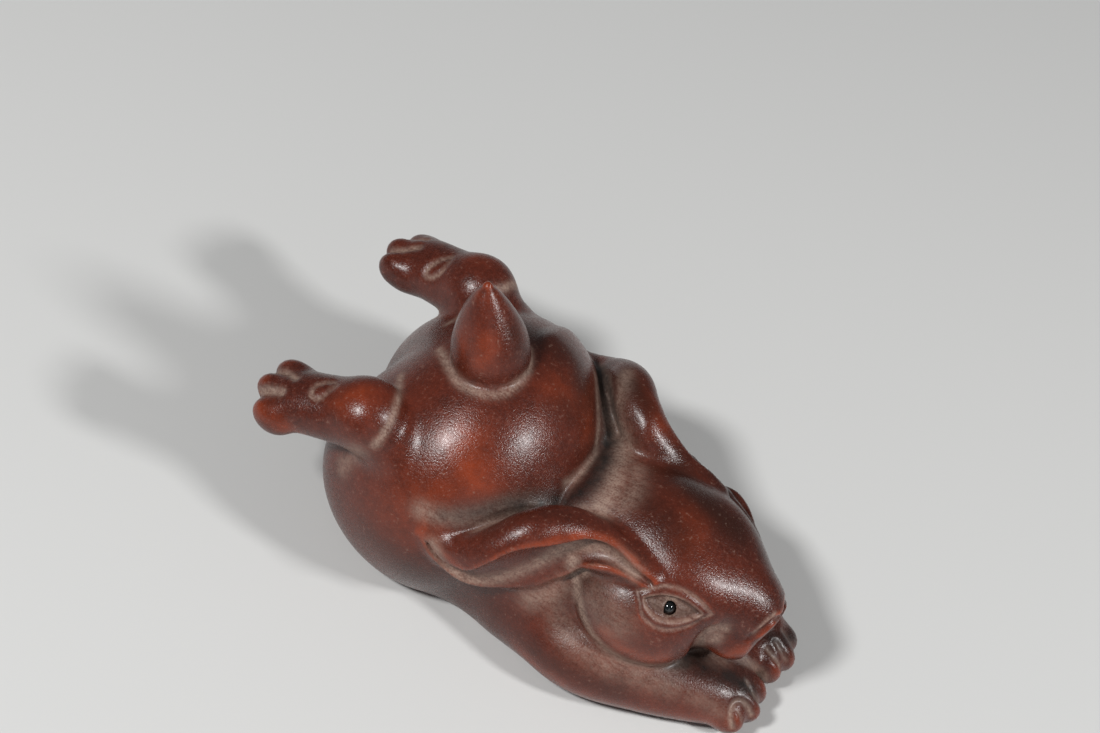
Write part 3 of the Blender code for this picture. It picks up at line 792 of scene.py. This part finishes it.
# Where the clay is rubbed bright red: on the high places that a hand touches. Along the near ear's upper rim
# the red is also painted highlight.
wearAndHighlight = {
    "rumpTop": {
        "along": [(-9.7, -15.5, 37.9), (-6.8, -17.0, 36.0), (-3.6, -17.6, 33.6)],
        "radius": 4.2, "strength": 0.75,
    },
    "rumpSide": {
        "along": [(-9.0, -22.4, 30.6), (-12.0, -25.0, 23.0)],
        "radius": 7.0, "strength": 0.45,
    },
    "rumpFront": {
        "along": [(-1.6, 3.3, 40.0), (2.6, 6.6, 36.0), (4.4, 5.0, 34.6)],
        "radius": 4.0, "strength": 0.5,
    },
    "tailFront": {
        "along": [(-13.4, -5.0, 50.4), (-13.8, -6.4, 46.4)],
        "radius": 2.2, "strength": 0.7,
    },
    "tailBack": {
        "along": [(-18.6, -5.2, 48.9), (-17.6, -6.4, 46.8)],
        "radius": 1.6, "strength": 0.5,
    },
    "nearHeel": {
        "along": [(-27.4, -19.6, 39.0), (-29.6, -21.4, 37.0)],
        "radius": 2.6, "strength": 0.6,
    },
    "nearToes": {
        "along": [(-43.4, -25.4, 27.4), (-39.6, -26.0, 28.4), (-35.0, -25.0, 27.0)],
        "radius": 2.0, "strength": 0.75,
    },
    "farHeel": {
        "along": [(-29.0, 20.0, 37.6), (-26.6, 21.8, 37.4)],
        "radius": 2.2, "strength": 0.5,
    },
    "cheekEdge": {
        "along": [
            (27.2, -19.9, 19.6), (30.6, -19.8, 18.2), (34.1, -18.7, 17.4), (37.4, -16.6, 17.2),
        ],
        "radius": 1.7, "strength": 0.95,
    },
    "lipCorner": {
        "along": [(44.6, -8.6, 16.6), (46.8, -8.1, 18.4), (48.4, -6.6, 19.4)],
        "radius": 1.3, "strength": 0.95,
    },
    "noseEdge": {
        "along": [(49.4, -5.0, 22.4), (50.0, -3.0, 24.2), (50.4, -1.2, 24.8)],
        "radius": 0.8, "strength": 0.5,
    },
    "lowForearm": {
        "along": [
            (16.0, -22.6, 5.0), (24.0, -23.6, 5.6), (33.0, -20.4, 4.6), (43.0, -15.6, 4.0),
            (50.6, -12.4, 4.4),
        ],
        "radius": 2.4, "strength": 0.7,
    },
    "farEarRoot": {
        "along": [(12.8, 14.8, 35.1), (16.6, 13.4, 34.1)],
        "radius": 2.6, "strength": 0.7,
    },
    "forehead": {
        "along": [(24.0, 6.0, 33.4), (29.0, 2.0, 34.2), (31.0, -4.0, 33.0)],
        "radius": 3.4, "strength": 0.45,
    },
    # Rubbed red and painted highlight along the near ear's upper rim.
    "nearEarUpperRim": {
        "along": [
            (-9.3, -24.8, 27.5), (-6.9, -26.0, 25.2), (-3.7, -26.9, 23.4), (-0.3, -27.2, 22.6),
            (2.8, -26.4, 22.8), (5.4, -25.6, 25.2), (7.4, -24.0, 28.0), (10.4, -21.0, 31.6),
            (13.3, -17.4, 32.8), (16.8, -14.2, 33.0), (20.6, -12.6, 32.6), (24.0, -12.6, 31.8),
            (27.6, -13.0, 30.6),
        ],
        "radius": 0.9, "strength": 0.85,
    },
    "nearEarLowerRim": {
        "along": [
            (-3.4, -26.4, 17.6), (0.8, -26.6, 16.2), (4.6, -25.6, 15.6), (8.0, -23.6, 16.4),
        ],
        "radius": 1.0, "strength": 0.5,
    },
}
# Where it is dark: soot and tea on the paws, and painted shade in the folds behind the neck and the near
# ear.
sootyAndShaded = {
    "nearPaw": {
        "along": [
            (39.0, -11.0, 12.6), (41.6, -9.8, 12.0), (44.6, -8.8, 11.4), (48.6, -7.2, 10.4),
            (52.0, -5.8, 9.0),
        ],
        "radius": 3.8, "strength": 0.97,
    },
    "farPaw": {
        "along": [(50.6, 5.6, 9.8), (52.6, 7.6, 8.8), (53.2, 10.2, 7.4)],
        "radius": 2.6, "strength": 0.9,
    },
    # Painted shade in the valley between the rump and the neck, and in the fold behind the near ear.
    "foldBehindNeck": {
        "along": [
            (1.2, 20.3, 28.2), (4.2, 15.7, 29.5), (6.8, 12.4, 29.3), (9.1, 8.7, 27.9),
            (10.6, 2.4, 30.0), (11.2, -2.0, 30.6), (10.6, -5.2, 30.0), (8.3, -8.2, 28.6),
            (4.6, -12.4, 29.4), (0.6, -17.0, 29.6), (-4.0, -21.0, 27.8),
        ],
        "radius": 2.5, "strength": 1.0,
    },
    "foldBehindNearEar": {
        "along": [
            (9.6, -7.2, 29.2), (6.4, -10.6, 29.0), (2.8, -15.0, 29.6), (-1.8, -19.4, 29.0),
            (-6.0, -22.8, 27.6),
        ],
        "radius": 1.5, "strength": 0.95,
    },
}
# Painted shade, nearly black brown: on the top and far side of the head and ears, the far and front parts of
# the rump, the tail's front, low on the flank and forearm, and in the fold behind the cheek.
paintedShade = {
    "farTopOfHead": {
        "along": [(22.0, 8.0, 33.4), (26.0, 5.6, 33.7), (31.0, 4.6, 33.4), (36.0, 4.6, 32.0)],
        "radius": 4.8, "strength": 0.97,
    },
    "farSideOfHead": {
        "along": [(18.0, 15.0, 29.0), (27.0, 14.6, 29.0), (36.0, 11.6, 28.4), (43.0, 6.6, 25.6)],
        "radius": 5.5, "strength": 0.85,
    },
    "topOfHead": {
        "along": [(20.0, -2.0, 33.4), (25.0, -4.0, 33.9), (30.0, -4.6, 32.6)],
        "radius": 4.0, "strength": 0.6,
    },
    "farEarRoot": {
        "along": [(5.0, 17.4, 34.0), (9.5, 15.4, 34.6), (13.0, 13.6, 33.6)],
        "radius": 3.0, "strength": 0.9,
    },
    "farRump": {
        "along": [(-13.0, 9.0, 41.6), (-8.5, 9.6, 40.8), (-2.0, 12.0, 37.4), (1.2, 9.4, 37.4)],
        "radius": 5.0, "strength": 0.75,
    },
    "rumpFront": {
        "along": [(0.6, 1.6, 39.0), (2.6, 6.6, 36.6)],
        "radius": 3.4, "strength": 0.45,
    },
    "tailFront": {
        "along": [(-10.6, 0.4, 46.0), (-11.4, -0.6, 51.0)],
        "radius": 2.6, "strength": 0.6,
    },
    "lowFlank": {
        "along": [(-14.0, -25.4, 15.0), (-4.0, -26.8, 12.0), (8.0, -24.4, 9.6)],
        "radius": 6.0, "strength": 0.5,
    },
    "lowForearm": {
        "along": [(8.0, -24.0, 8.0), (22.0, -24.0, 8.6), (34.0, -20.6, 7.6)],
        "radius": 2.6, "strength": 0.45,
    },
    "foldBehindCheek": {
        "along": [(18.6, -15.6, 24.0), (19.4, -17.0, 20.6), (22.4, -18.6, 18.2)],
        "radius": 2.0, "strength": 0.6,
    },
    "nearEarTop": {
        "along": [
            (2.6, -22.6, 30.4), (7.6, -17.8, 34.2), (12.0, -14.6, 35.0), (17.0, -12.4, 34.6),
        ],
        "radius": 2.2, "strength": 0.4,
    },
}
# The far ear lies a little further back and higher than the near one, and its root lower.
lean = {
    "from": (4.0, 13.0),
    "above": (17.0, 23.0),
    "start": (-12.0, -6.0),
    "end": (14.0, 24.0),
    "move": (-1.4, 0.0, 1.7),
}
twist = {
    "from": (3.0, 9.0),
    "above": (12.0, 22.0),
    "start": (14.0, 22.0),
    "end": (27.0, 33.5),
    "axis": 19.5,
    "degrees": 8.0,
}


# A piece of the scene from points in millimetres and lists of corners, at the origin.
def meshPiece(name, points, faces, smooth=True):
    mesh = bpy.data.meshes.new(name)
    mesh.from_pydata((points * millimetre).tolist(), [], faces)
    mesh.update()
    if smooth:
        mesh.shade_smooth()
    piece = bpy.data.objects.new(name, mesh)
    bpy.context.scene.collection.objects.link(piece)
    return piece


# One number for each point, kept on the mesh for its material to read.
def addMask(mesh, name, values):
    mask = mesh.attributes.new(name, "FLOAT", "POINT")
    mask.data.foreach_set("value", np.ascontiguousarray(values, np.float32))


# How much of a change a point takes: it grows with y and z, and along x from start, and goes back
# to nought at end.
def shareOf(points, zone):
    x, y, z = points.T
    share = eased(y, *zone["from"]) * eased(z, *zone["above"]) * eased(x, *zone["start"])
    return share * (1 - eased(x, *zone["end"]))


# The far ear moved back and up, and its root turned about a line along x: y goes to
# y cos + z sin, and z to z cos - y sin.
def farEarShifted(points, formed):
    formed = formed + shareOf(points, lean)[:, None] * np.float32(lean["move"])
    turning = np.radians(twist["degrees"]) * shareOf(points, twist)
    side, over = formed[:, 1].copy(), formed[:, 2] - twist["axis"]
    formed[:, 1] = side * np.cos(turning) + over * np.sin(turning)
    formed[:, 2] = over * np.cos(turning) - side * np.sin(turning) + twist["axis"]
    return formed


# Pale dust, the most of: what the folds hold, the marks, what the carving holds, the near eye's
# lids, and a little in both eyes.
def dustMask(points, shut, carved, inside):
    amount = weathering
    dust = np.maximum(amount["foldDust"] * eased(shut, *amount["foldDustOver"]), marks(points, dusty))
    dust = np.maximum(dust, np.clip(carved * amount["carvedDust"], 0, amount["mostCarvedDust"]))
    lids = bell(inside, amount["lidDustAt"], amount["lidDustWidth"])
    lids = lids + amount["lidLineShare"] * bell(inside, eye["lineAt"], eye["lineWidth"])
    dust = np.maximum(dust, amount["lidDust"] * np.clip(lids, 0, 1) * (points[:, 1] < 0))
    return np.maximum(dust, amount["eyeDust"] * eased(inside, *amount["eyeDustOver"]))


# Rubbed red and painted highlight: the marks and the sharp bends, whose red is partly painted highlight,
# less on the far side and under dust, none at the eyes.
def wearAndHighlightMask(points, bend, inside):
    amount = weathering
    edges = amount["edgeWearAndHighlight"] * eased(bend, *amount["edgeWearAndHighlightOver"])
    edges = edges * (1 - amount["lessEdgeRedFarSide"] * eased(points[:, 1], *amount["farSideOver"]))
    red = np.clip(marks(points, wearAndHighlight) + edges, 0, 1)
    red = red * (1 - amount["lessWearUnderDust"] * marks(points, dusty))
    return red * (1 - eased(inside, *amount["unwornOver"]))


# Nearly black: the painted-shade marks, and the darker inside of the eyes.
def paintedShadeAndDarkEyesMask(points, inside):
    inEyes = weathering["eyeDarkening"] * eased(inside, *weathering["eyeDarkeningOver"])
    return np.maximum(marks(points, paintedShade), inEyes)


slope, bend = slopeAndBend(points, weathering["slopeReach"])
normals = slope / np.maximum(np.linalg.norm(slope, axis=1), tiny)[:, None]
carved = marks(points, carvings)
inside = insideEye(onLeft(points))
formed = farEarShifted(points, points - normals * carved[:, None])
clay = meshPiece("clayRabbit", formed + shift, quads.tolist())
addMask(clay.data, "dust", dustMask(points, closedIn(points, normals), carved, inside))
# Rubbed red, and painted highlight on sharp edges and rims.
addMask(clay.data, "wearAndHighlight", wearAndHighlightMask(points, bend, inside))
# Soot on the paws, and painted shade in the folds behind the neck and the near ear.
addMask(clay.data, "sootAndShade", marks(points, sootyAndShaded))
# Painted shade, and the darker inside of the eyes.
addMask(clay.data, "paintedShadeAndDarkEyes", paintedShadeAndDarkEyesMask(points, inside))
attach(clay, "root")
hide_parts("body")
print("clay rabbit made")


# A new material with its node tree and its surface shader.
def newMaterial(name):
    material = bpy.data.materials.new(name)
    material.use_nodes = True
    return material, material.node_tree, material.node_tree.nodes["Principled BSDF"]


# The first colour where the factor is 0, the second where it is 1. Each colour is three numbers
# or a socket.
def mixColours(tree, factor, first, second):
    mix = tree.nodes.new("ShaderNodeMix")
    mix.data_type = "RGBA"
    tree.links.new(factor, mix.inputs["Factor"])
    for name, colour in (("A", first), ("B", second)):
        slot = [s for s in mix.inputs if s.name == name and s.type == "RGBA"][0]
        if isinstance(colour, tuple):
            slot.default_value = (*colour, 1)
        else:
            tree.links.new(colour, slot)
    return [s for s in mix.outputs if s.type == "RGBA"][0]


# The numbers that addMask kept under this name.
def maskNode(tree, name):
    node = tree.nodes.new("ShaderNodeAttribute")
    node.attribute_name = name
    return node.outputs["Fac"]


# One sum of two or three values, each a number or a socket. MULTIPLY_ADD is the first times the
# second, plus the third.
def maths(tree, kind, first, second, third=None, clamp=False):
    node = tree.nodes.new("ShaderNodeMath")
    node.operation = kind
    node.use_clamp = clamp
    for socket, value in zip(node.inputs, (first, second, third)):
        if value is None:
            continue
        if isinstance(value, (int, float)):
            socket.default_value = value
        else:
            tree.links.new(value, socket)
    return node.outputs[0]


# Noise with so many swells to a metre as its scale says.
def noise(tree, coordinates, look):
    node = tree.nodes.new("ShaderNodeTexNoise")
    node.inputs["Scale"].default_value = look["scale"]
    node.inputs["Detail"].default_value = look["detail"]
    node.inputs["Roughness"].default_value = look["roughness"]
    tree.links.new(coordinates, node.inputs["Vector"])
    return node.outputs["Fac"]


# 0 below low, 1 above high, smooth between.
def stretched(tree, value, low, high):
    node = tree.nodes.new("ShaderNodeMapRange")
    node.interpolation_type = "SMOOTHSTEP"
    node.inputs["From Min"].default_value = low
    node.inputs["From Max"].default_value = high
    tree.links.new(value, node.inputs["Value"])
    return node.outputs["Result"]


# Noise whose low and high parts are drawn out to 0 and 1.
def patches(tree, coordinates, look):
    return stretched(tree, noise(tree, coordinates, look), *look["over"])


clayFinish = {
    "brown": (0.118, 0.021, 0.010),
    "darkBrown": (0.040, 0.008, 0.0045),
    # Rubbed red, also used as painted highlight on sharp edges.
    "wornRedAndHighlight": (0.235, 0.036, 0.010),
    # Painted shade, and the darker inside of the eyes.
    "paintedShadeAndDarkEyes": (0.026, 0.007, 0.004),
    "dust": (0.35, 0.245, 0.192),
    # Soot, and painted shade in folds.
    "sootAndShade": (0.014, 0.012, 0.011),
    "broad": {"scale": 60, "detail": 4, "roughness": 0.55, "over": (0.34, 0.66)},
    "mottle": {"scale": 420, "detail": 5, "roughness": 0.65, "over": (0.32, 0.68)},
    "specks": {"scale": 1500, "detail": 3, "roughness": 0.6, "over": (0.36, 0.64)},
    "streaks": {"scale": 1, "detail": 3, "roughness": 0.6, "over": (0.36, 0.62)},
    "powder": {"scale": 2800, "detail": 3, "roughness": 0.7, "over": (0.36, 0.64)},
    "grain": {"scale": 3200, "detail": 2, "roughness": 0.55, "over": (0.35, 0.65)},
    "streakScale": (260.0, 1500.0, 1100.0),
    "streakTurn": (0.0, 0.5, 0.7),
    "broadShare": 0.45,
    "mottleShare": 0.25,
    "speckShare": 0.3,
    "wearAndHighlightLeast": 0.55,
    "wearAndHighlightMottle": 0.5,
    "dustLeast": 0.20,
    "dustPowder": 0.42,
    "dustStreaks": 0.30,
    "dustMottle": 0.16,
    "haze": 0.26,
    "hazeOver": (0.60, 0.74),
    "sootAndShadeLeast": 0.7,
    "sootAndShadeMottle": 0.3,
    "roughness": 0.20,
    "dustRoughness": 0.50,
    "grainRoughness": 0.16,
    "specular": 0.36,
    "coat": 0.14,
    "coatRoughness": 0.24,
    "grainDepth": 0.00010,
    "grainStrength": 0.8,
}


# How much dust shows: its mask broken up by powder, streaks and mottle, and a thin haze of specks.
def dustCover(tree, place, mottled, specks):
    mapped = tree.nodes.new("ShaderNodeMapping")
    mapped.inputs["Scale"].default_value = clayFinish["streakScale"]
    mapped.inputs["Rotation"].default_value = clayFinish["streakTurn"]
    tree.links.new(place, mapped.inputs["Vector"])
    streaks = patches(tree, mapped.outputs["Vector"], clayFinish["streaks"])
    powder = patches(tree, place, clayFinish["powder"])
    broken = maths(tree, "MULTIPLY_ADD", powder, clayFinish["dustPowder"], clayFinish["dustLeast"])
    broken = maths(tree, "MULTIPLY_ADD", streaks, clayFinish["dustStreaks"], broken)
    broken = maths(tree, "MULTIPLY_ADD", mottled, clayFinish["dustMottle"], broken)
    dusted = maths(tree, "MULTIPLY", maskNode(tree, "dust"), broken, clamp=True)
    haze = maths(tree, "MULTIPLY", stretched(tree, specks, *clayFinish["hazeOver"]), clayFinish["haze"])
    return maths(tree, "MAXIMUM", dusted, haze)


# A mask that the mottle breaks up: the mask times least plus share times the mottle.
def brokenMask(tree, name, mottled, share, least):
    broken = maths(tree, "MULTIPLY_ADD", mottled, share, least)
    return maths(tree, "MULTIPLY", maskNode(tree, name), broken, clamp=True)


# Clay rubbed by hands, from the bottom up: dark and mid brown in clouds, red where it is worn and as
# painted highlight on sharp edges, nearly black as painted shade and inside the eyes, then dust, then
# soot and painted shade in folds.
def clayMaterial():
    material, tree, surface = newMaterial("polishedRedClay")
    place = tree.nodes.new("ShaderNodeTexCoord").outputs["Object"]
    mottled = patches(tree, place, clayFinish["mottle"])
    specks = noise(tree, place, clayFinish["specks"])
    grain = noise(tree, place, clayFinish["grain"])
    speckled = stretched(tree, specks, *clayFinish["specks"]["over"])
    clouds = maths(tree, "MULTIPLY", speckled, clayFinish["speckShare"])
    clouds = maths(tree, "MULTIPLY_ADD", mottled, clayFinish["mottleShare"], clouds)
    broad = patches(tree, place, clayFinish["broad"])
    clouds = maths(tree, "MULTIPLY_ADD", broad, clayFinish["broadShare"], clouds)
    colour = mixColours(tree, clouds, clayFinish["darkBrown"], clayFinish["brown"])
    # Rubbed red, and painted highlight on sharp edges.
    wearAndHighlightShare = brokenMask(tree, "wearAndHighlight", mottled, clayFinish["wearAndHighlightMottle"], clayFinish["wearAndHighlightLeast"])
    colour = mixColours(tree, wearAndHighlightShare, colour, clayFinish["wornRedAndHighlight"])
    # Painted shade, and the darker inside of the eyes.
    colour = mixColours(tree, maskNode(tree, "paintedShadeAndDarkEyes"), colour, clayFinish["paintedShadeAndDarkEyes"])
    dusted = dustCover(tree, place, mottled, specks)
    colour = mixColours(tree, dusted, colour, clayFinish["dust"])
    # Soot, and painted shade in folds.
    blackened = brokenMask(tree, "sootAndShade", mottled, clayFinish["sootAndShadeMottle"], clayFinish["sootAndShadeLeast"])
    colour = mixColours(tree, blackened, colour, clayFinish["sootAndShade"])
    tree.links.new(colour, surface.inputs["Base Color"])
    rough = maths(tree, "MULTIPLY_ADD", dusted, clayFinish["dustRoughness"], clayFinish["roughness"])
    glints = stretched(tree, grain, *clayFinish["grain"]["over"])
    rough = maths(tree, "MULTIPLY_ADD", glints, clayFinish["grainRoughness"], rough, clamp=True)
    tree.links.new(rough, surface.inputs["Roughness"])
    surface.inputs["Specular IOR Level"].default_value = clayFinish["specular"]
    surface.inputs["Coat Weight"].default_value = clayFinish["coat"]
    surface.inputs["Coat Roughness"].default_value = clayFinish["coatRoughness"]
    bump = tree.nodes.new("ShaderNodeBump")
    bump.inputs["Distance"].default_value = clayFinish["grainDepth"]
    bump.inputs["Strength"].default_value = clayFinish["grainStrength"]
    tree.links.new(grain, bump.inputs["Height"])
    tree.links.new(bump.outputs["Normal"], surface.inputs["Normal"])
    return material


clay.data.materials.append(clayMaterial())
print("clay finish made")


# A bead: a point at longitude u and latitude v is its middle plus the radius times
# (cos v cos u, cos v sin u, sin v). The two poles close it.
def beadPiece(name, middle, radius):
    u = np.linspace(0, 2 * math.pi, bead["turns"], endpoint=False)
    v = np.linspace(-math.pi / 2, math.pi / 2, bead["rings"] + 1)[1:-1]
    across, up = np.meshgrid(u, v)
    around = np.stack([np.cos(up) * np.cos(across), np.cos(up) * np.sin(across), np.sin(up)], -1)
    points = np.vstack([around.reshape(-1, 3), [[0, 0, -1], [0, 0, 1]]]) * radius + np.array(middle)
    count, rows = bead["turns"], bead["rings"] - 1
    i, j = np.meshgrid(np.arange(count), np.arange(rows - 1))
    here, beside = j * count + i, j * count + (i + 1) % count
    faces = np.stack([here, beside, beside + count, here + count], -1).reshape(-1, 4).tolist()
    last = rows * count
    faces += [[last, (k + 1) % count, k] for k in range(count)]
    faces += [[last + 1, last - count + k, last - count + (k + 1) % count] for k in range(count)]
    return meshPiece(name, points, faces)


# Black glass, the same all over: a glossy bead is too small for a pattern to show.
def beadMaterial():
    material, _, surface = newMaterial("blackGlassBead")
    surface.inputs["Base Color"].default_value = (*bead["colour"], 1)
    surface.inputs["Roughness"].default_value = bead["roughness"]
    surface.inputs["Coat Weight"].default_value = bead["coat"]
    surface.inputs["Coat Roughness"].default_value = bead["coatRoughness"]
    return material


blackGlass = beadMaterial()
for side in ("left", "right"):
    low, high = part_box("eye_bead_" + side)
    middle = [(a + b) / 2 / millimetre for a, b in zip(low, high)]
    glass = beadPiece("eyeBead" + side.capitalize(), middle, (high[0] - low[0]) / 2 / millimetre)
    glass.data.materials.append(blackGlass)
    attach(glass, "root")
    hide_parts("eye_bead_" + side)
print("eye beads made")

room = {
    "floorSize": 6000.0,
    "floorColour": (0.58, 0.58, 0.57),
    "floorRoughness": 0.7,
    "skyColour": (0.95, 0.97, 1.0),
    "skyStrength": 0.12,
}


# A plain pale floor, square, at height nought.
def addFloor():
    half = room["floorSize"] / 2
    corners = np.array([(-half, -half, 0), (half, -half, 0), (half, half, 0), (-half, half, 0)])
    floor = meshPiece("paleFloor", corners, [(0, 1, 2, 3)], smooth=False)
    material, _, surface = newMaterial("paleFloorPaint")
    surface.inputs["Base Color"].default_value = (*room["floorColour"], 1)
    surface.inputs["Roughness"].default_value = room["floorRoughness"]
    floor.data.materials.append(material)


# The same dim light from all round.
def addSky():
    world = bpy.data.worlds.new("softRoom")
    bpy.context.scene.world = world
    world.use_nodes = True
    sky = world.node_tree.nodes["Background"]
    sky.inputs["Color"].default_value = (*room["skyColour"], 1)
    sky.inputs["Strength"].default_value = room["skyStrength"]


# Each lamp: the way to it as azimuth and height in degrees, its distance and size in metres, and
# its power in watts. They all point at lampAim, in metres.
lamps = {
    "softBoxNear": {"azimuth": -119, "height": 51, "distance": 0.75, "size": 0.11, "power": 4.5},
    "softBoxFront": {"azimuth": 3, "height": 40, "distance": 0.75, "size": 0.11, "power": 3.5},
    "lowFill": {"azimuth": -50, "height": 14, "distance": 0.9, "size": 0.5, "power": 0.4},
}
lampAim = (0, 0, 0.02)


# The way to a place in the sky: (cos b cos a, cos b sin a, sin b) for azimuth a and height b.
def directionOf(azimuth, height):
    a, b = math.radians(azimuth), math.radians(height)
    return Vector((math.cos(b) * math.cos(a), math.cos(b) * math.sin(a), math.sin(b)))


# One round soft box, whose back faces away from what it lights.
def addLamp(name, lamp):
    light = bpy.data.lights.new(name, "AREA")
    light.shape = "DISK"
    light.size = lamp["size"]
    light.energy = lamp["power"]
    holder = bpy.data.objects.new(name, light)
    bpy.context.scene.collection.objects.link(holder)
    way = directionOf(lamp["azimuth"], lamp["height"])
    holder.location = way * lamp["distance"] + Vector(lampAim)
    holder.rotation_euler = way.to_track_quat("Z", "Y").to_euler()


# The camera looks down on the rabbit's right side. In the 1100 by 733 picture aimAt lies at
# aimPixel. Lengths are in millimetres, and clipStart is in metres.
view = {
    "azimuth": 15.8,
    "height": 50.0,
    "roll": 20.0,
    "distance": 460.0,
    "pixelsPerMillimetre": 5.64,
    "aimAt": (0.0, 0.0, 18.0),
    "aimPixel": (530.0, 480.0),
    "pictureWidth": 1100.0,
    "pictureHeight": 733.0,
    "sensorWidth": 36.0,
    "clipStart": 0.01,
}


# The focal length in pixels is the scale times the distance. The eye's place is the aim, less its
# offset in the picture, plus the way back.
def addCamera():
    a, e, roll = (math.radians(view[name]) for name in ("azimuth", "height", "roll"))
    back = Vector((math.sin(a) * math.cos(e), -math.cos(a) * math.cos(e), math.sin(e)))
    level = Vector((math.cos(a), math.sin(a), 0))
    upright = back.cross(level)
    right = level * math.cos(roll) + upright * math.sin(roll)
    up = upright * math.cos(roll) - level * math.sin(roll)
    focal = view["pixelsPerMillimetre"] * view["distance"]
    over = (view["aimPixel"][0] - view["pictureWidth"] / 2) / focal * view["distance"]
    above = (view["pictureHeight"] / 2 - view["aimPixel"][1]) / focal * view["distance"]
    aim = Vector(view["aimAt"]) + Vector(shift.tolist())
    spot = aim - right * over - up * above + back * view["distance"]
    lens = bpy.data.cameras.new("photoCamera")
    lens.sensor_width = view["sensorWidth"]
    lens.lens = focal / view["pictureWidth"] * view["sensorWidth"]
    lens.clip_start = view["clipStart"]
    holder = bpy.data.objects.new("photoCamera", lens)
    bpy.context.scene.collection.objects.link(holder)
    facing = Matrix((right, up, back)).transposed().to_4x4()
    holder.matrix_world = Matrix.Translation(spot * millimetre) @ facing
    bpy.context.scene.camera = holder


addFloor()
addSky()
for name, lamp in lamps.items():
    addLamp(name, lamp)
addCamera()
print("floor, lights and camera made")
bpy.context.scene.view_settings.view_transform = "Standard"
bpy.context.view_layer.update()
